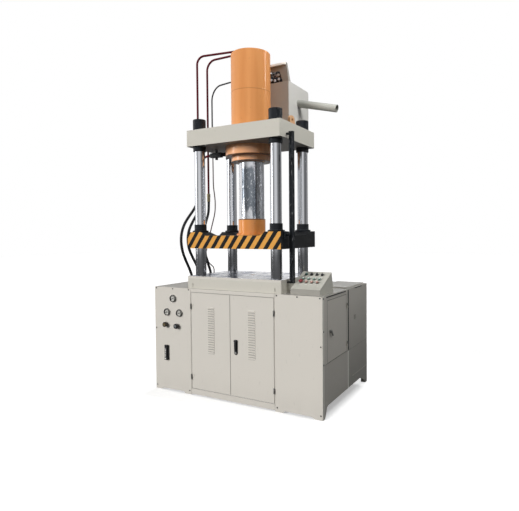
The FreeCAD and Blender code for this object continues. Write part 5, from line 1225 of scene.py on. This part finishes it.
# ---------------------------------------------------------------- stage
class PRESS_OT_stage(Operator):
    """Floor, sky and lights of the studio"""
    bl_idname = "press.stage"
    bl_label = "Stage"

    def execute(self, context):
        _, _, studio = settings(context)
        floor = start("plane", "floor", size=60, location=(0, 0, -0.0005))
        open_mesh()
        bpy.ops.mesh.subdivide(number_cuts=3)
        close_mesh()
        finish = Finish("floor_white", (1.0, 1.0, 1.0), 0.9, emission_strength=1.0, specular_ior_level=0.0)
        seen = finish.ray("Camera")
        finish.feed("Base Color", finish.blend(seen, studio.floor, (0.8, 0.8, 0.8)))
        glow = finish.blend(finish.ray("Glossy"), (0.0, 0.0, 0.0), (0.14, 0.14, 0.14))
        beyond_x, beyond_y = [(finish.axis(letter).size() - half).math("MAXIMUM", 0.0)
                              for letter, half in zip("XY", FOOTPRINT)]
        reach = (beyond_x * beyond_x + beyond_y * beyond_y).math("SQRT")
        # Near the press the floor's glow to the camera is dimmed: a painted contact shadow.
        contact_shadow = reach.ramp(0.115, 0.04) * seen
        lit = finish.blend(seen, glow, (0.68, 0.68, 0.68))
        finish.feed("Emission Color", finish.blend(contact_shadow * 0.45, lit, (0.0, 0.0, 0.0)))
        floor.data.materials.append(finish.material)

        world = bpy.data.worlds.new("studio_sky")
        context.scene.world = world
        world.use_nodes = True
        sky = Shading(world.node_tree)
        outward = sky.add("ShaderNodeTexCoord", output="Generated")
        x, y, z = [sky.along(outward, letter) for letter in "XYZ"]
        turn = x.math("ARCTAN2", 0.0 - y)
        round_about = ((turn - math.radians(ROOM_TURN)) / (2 * math.pi) + 1.5).math("FRACT")
        wall = sky.add("ShaderNodeValToRGB", {"stops": ROOM_WALLS}, {0: round_about})
        left, right = ROOM_TUBE
        tube = round_about.above(left) * round_about.below(right) * z.ramp(0.27, 0.33)
        left, right = ROOM_WINDOW
        window = round_about.above(left) * round_about.below(right) * z.ramp(0.21, 0.17)
        up = z.ramp(0.35, 0.8)
        room = wall * (1.0 - up) + up * 0.8 + tube * TUBE_GLOW + window * WINDOW_GLOW
        look = sky.ray("Camera") + sky.ray("Transmission")
        shine = sky.ray("Glossy")
        plain = (1.0 - look) * (1.0 - shine)
        strength = look + shine * room * (1.0 - look) + plain * studio.sky
        back = world.node_tree.nodes["Background"]
        back.inputs["Strength"].default_value = 1.0
        world.node_tree.links.new(strength.socket, back.inputs["Color"])

        lamp("SUN", "key_light", studio.key, (0.55, 0.80, -0.33), angle=math.radians(24))
        lamp("AREA", "side_light", studio.side, (-2.3, 0.6, -2.0), (2.6, -0.35, 4.7),
             shape="RECTANGLE", size=1.6, size_y=1.6, color=(0.98, 1.0, 1.0))
        lamp("SUN", "back_light", studio.back, (0.15, -0.95, -0.30), angle=math.radians(30))
        context.scene.view_settings.view_transform = "Standard"
        return {"FINISHED"}


OPERATORS = (
    PRESS_OT_camera, PRESS_OT_hoses, PRESS_OT_cabinet_finish, PRESS_OT_door_trim, PRESS_OT_frame_finish,
    PRESS_OT_weld_beads, PRESS_OT_cylinder_finish, PRESS_OT_top_finish, PRESS_OT_valve_fittings,
    PRESS_OT_hood_lip, PRESS_OT_pipe_finish, PRESS_OT_pilot_sleeve, PRESS_OT_control_finish,
    PRESS_OT_level_scale, PRESS_OT_dials, PRESS_OT_desk_fittings, PRESS_OT_inner_finish,
    PRESS_OT_wiring_ducts, PRESS_OT_stage,
)


class PRESS_PT_panel(Panel):
    """The press, piece by piece"""
    bl_idname = "PRESS_PT_panel"
    bl_label = "Hydraulic press"
    bl_space_type = "VIEW_3D"
    bl_region_type = "UI"
    bl_category = "Press"

    def draw(self, context):
        layout = self.layout
        for group in settings(context):
            box = layout.box()
            for key in group.__annotations__:
                box.prop(group, key)
        for operator in OPERATORS:
            layout.operator(operator.bl_idname)


GROUPS = (PressColours, PressSizes, PressStudio)


def register():
    for item in GROUPS + OPERATORS + (PRESS_PT_panel,):
        bpy.utils.register_class(item)
    bpy.types.Scene.press_colours = PointerProperty(type=PressColours)
    bpy.types.Scene.press_sizes = PointerProperty(type=PressSizes)
    bpy.types.Scene.press_studio = PointerProperty(type=PressStudio)


def unregister():
    del bpy.types.Scene.press_studio
    del bpy.types.Scene.press_sizes
    del bpy.types.Scene.press_colours
    for item in reversed(GROUPS + OPERATORS + (PRESS_PT_panel,)):
        bpy.utils.unregister_class(item)


def main():
    register()
    for operator in OPERATORS:
        group, name = operator.bl_idname.split(".")
        getattr(getattr(bpy.ops, group), name)()
    drop_selection()


if __name__ == "__main__":
    main()
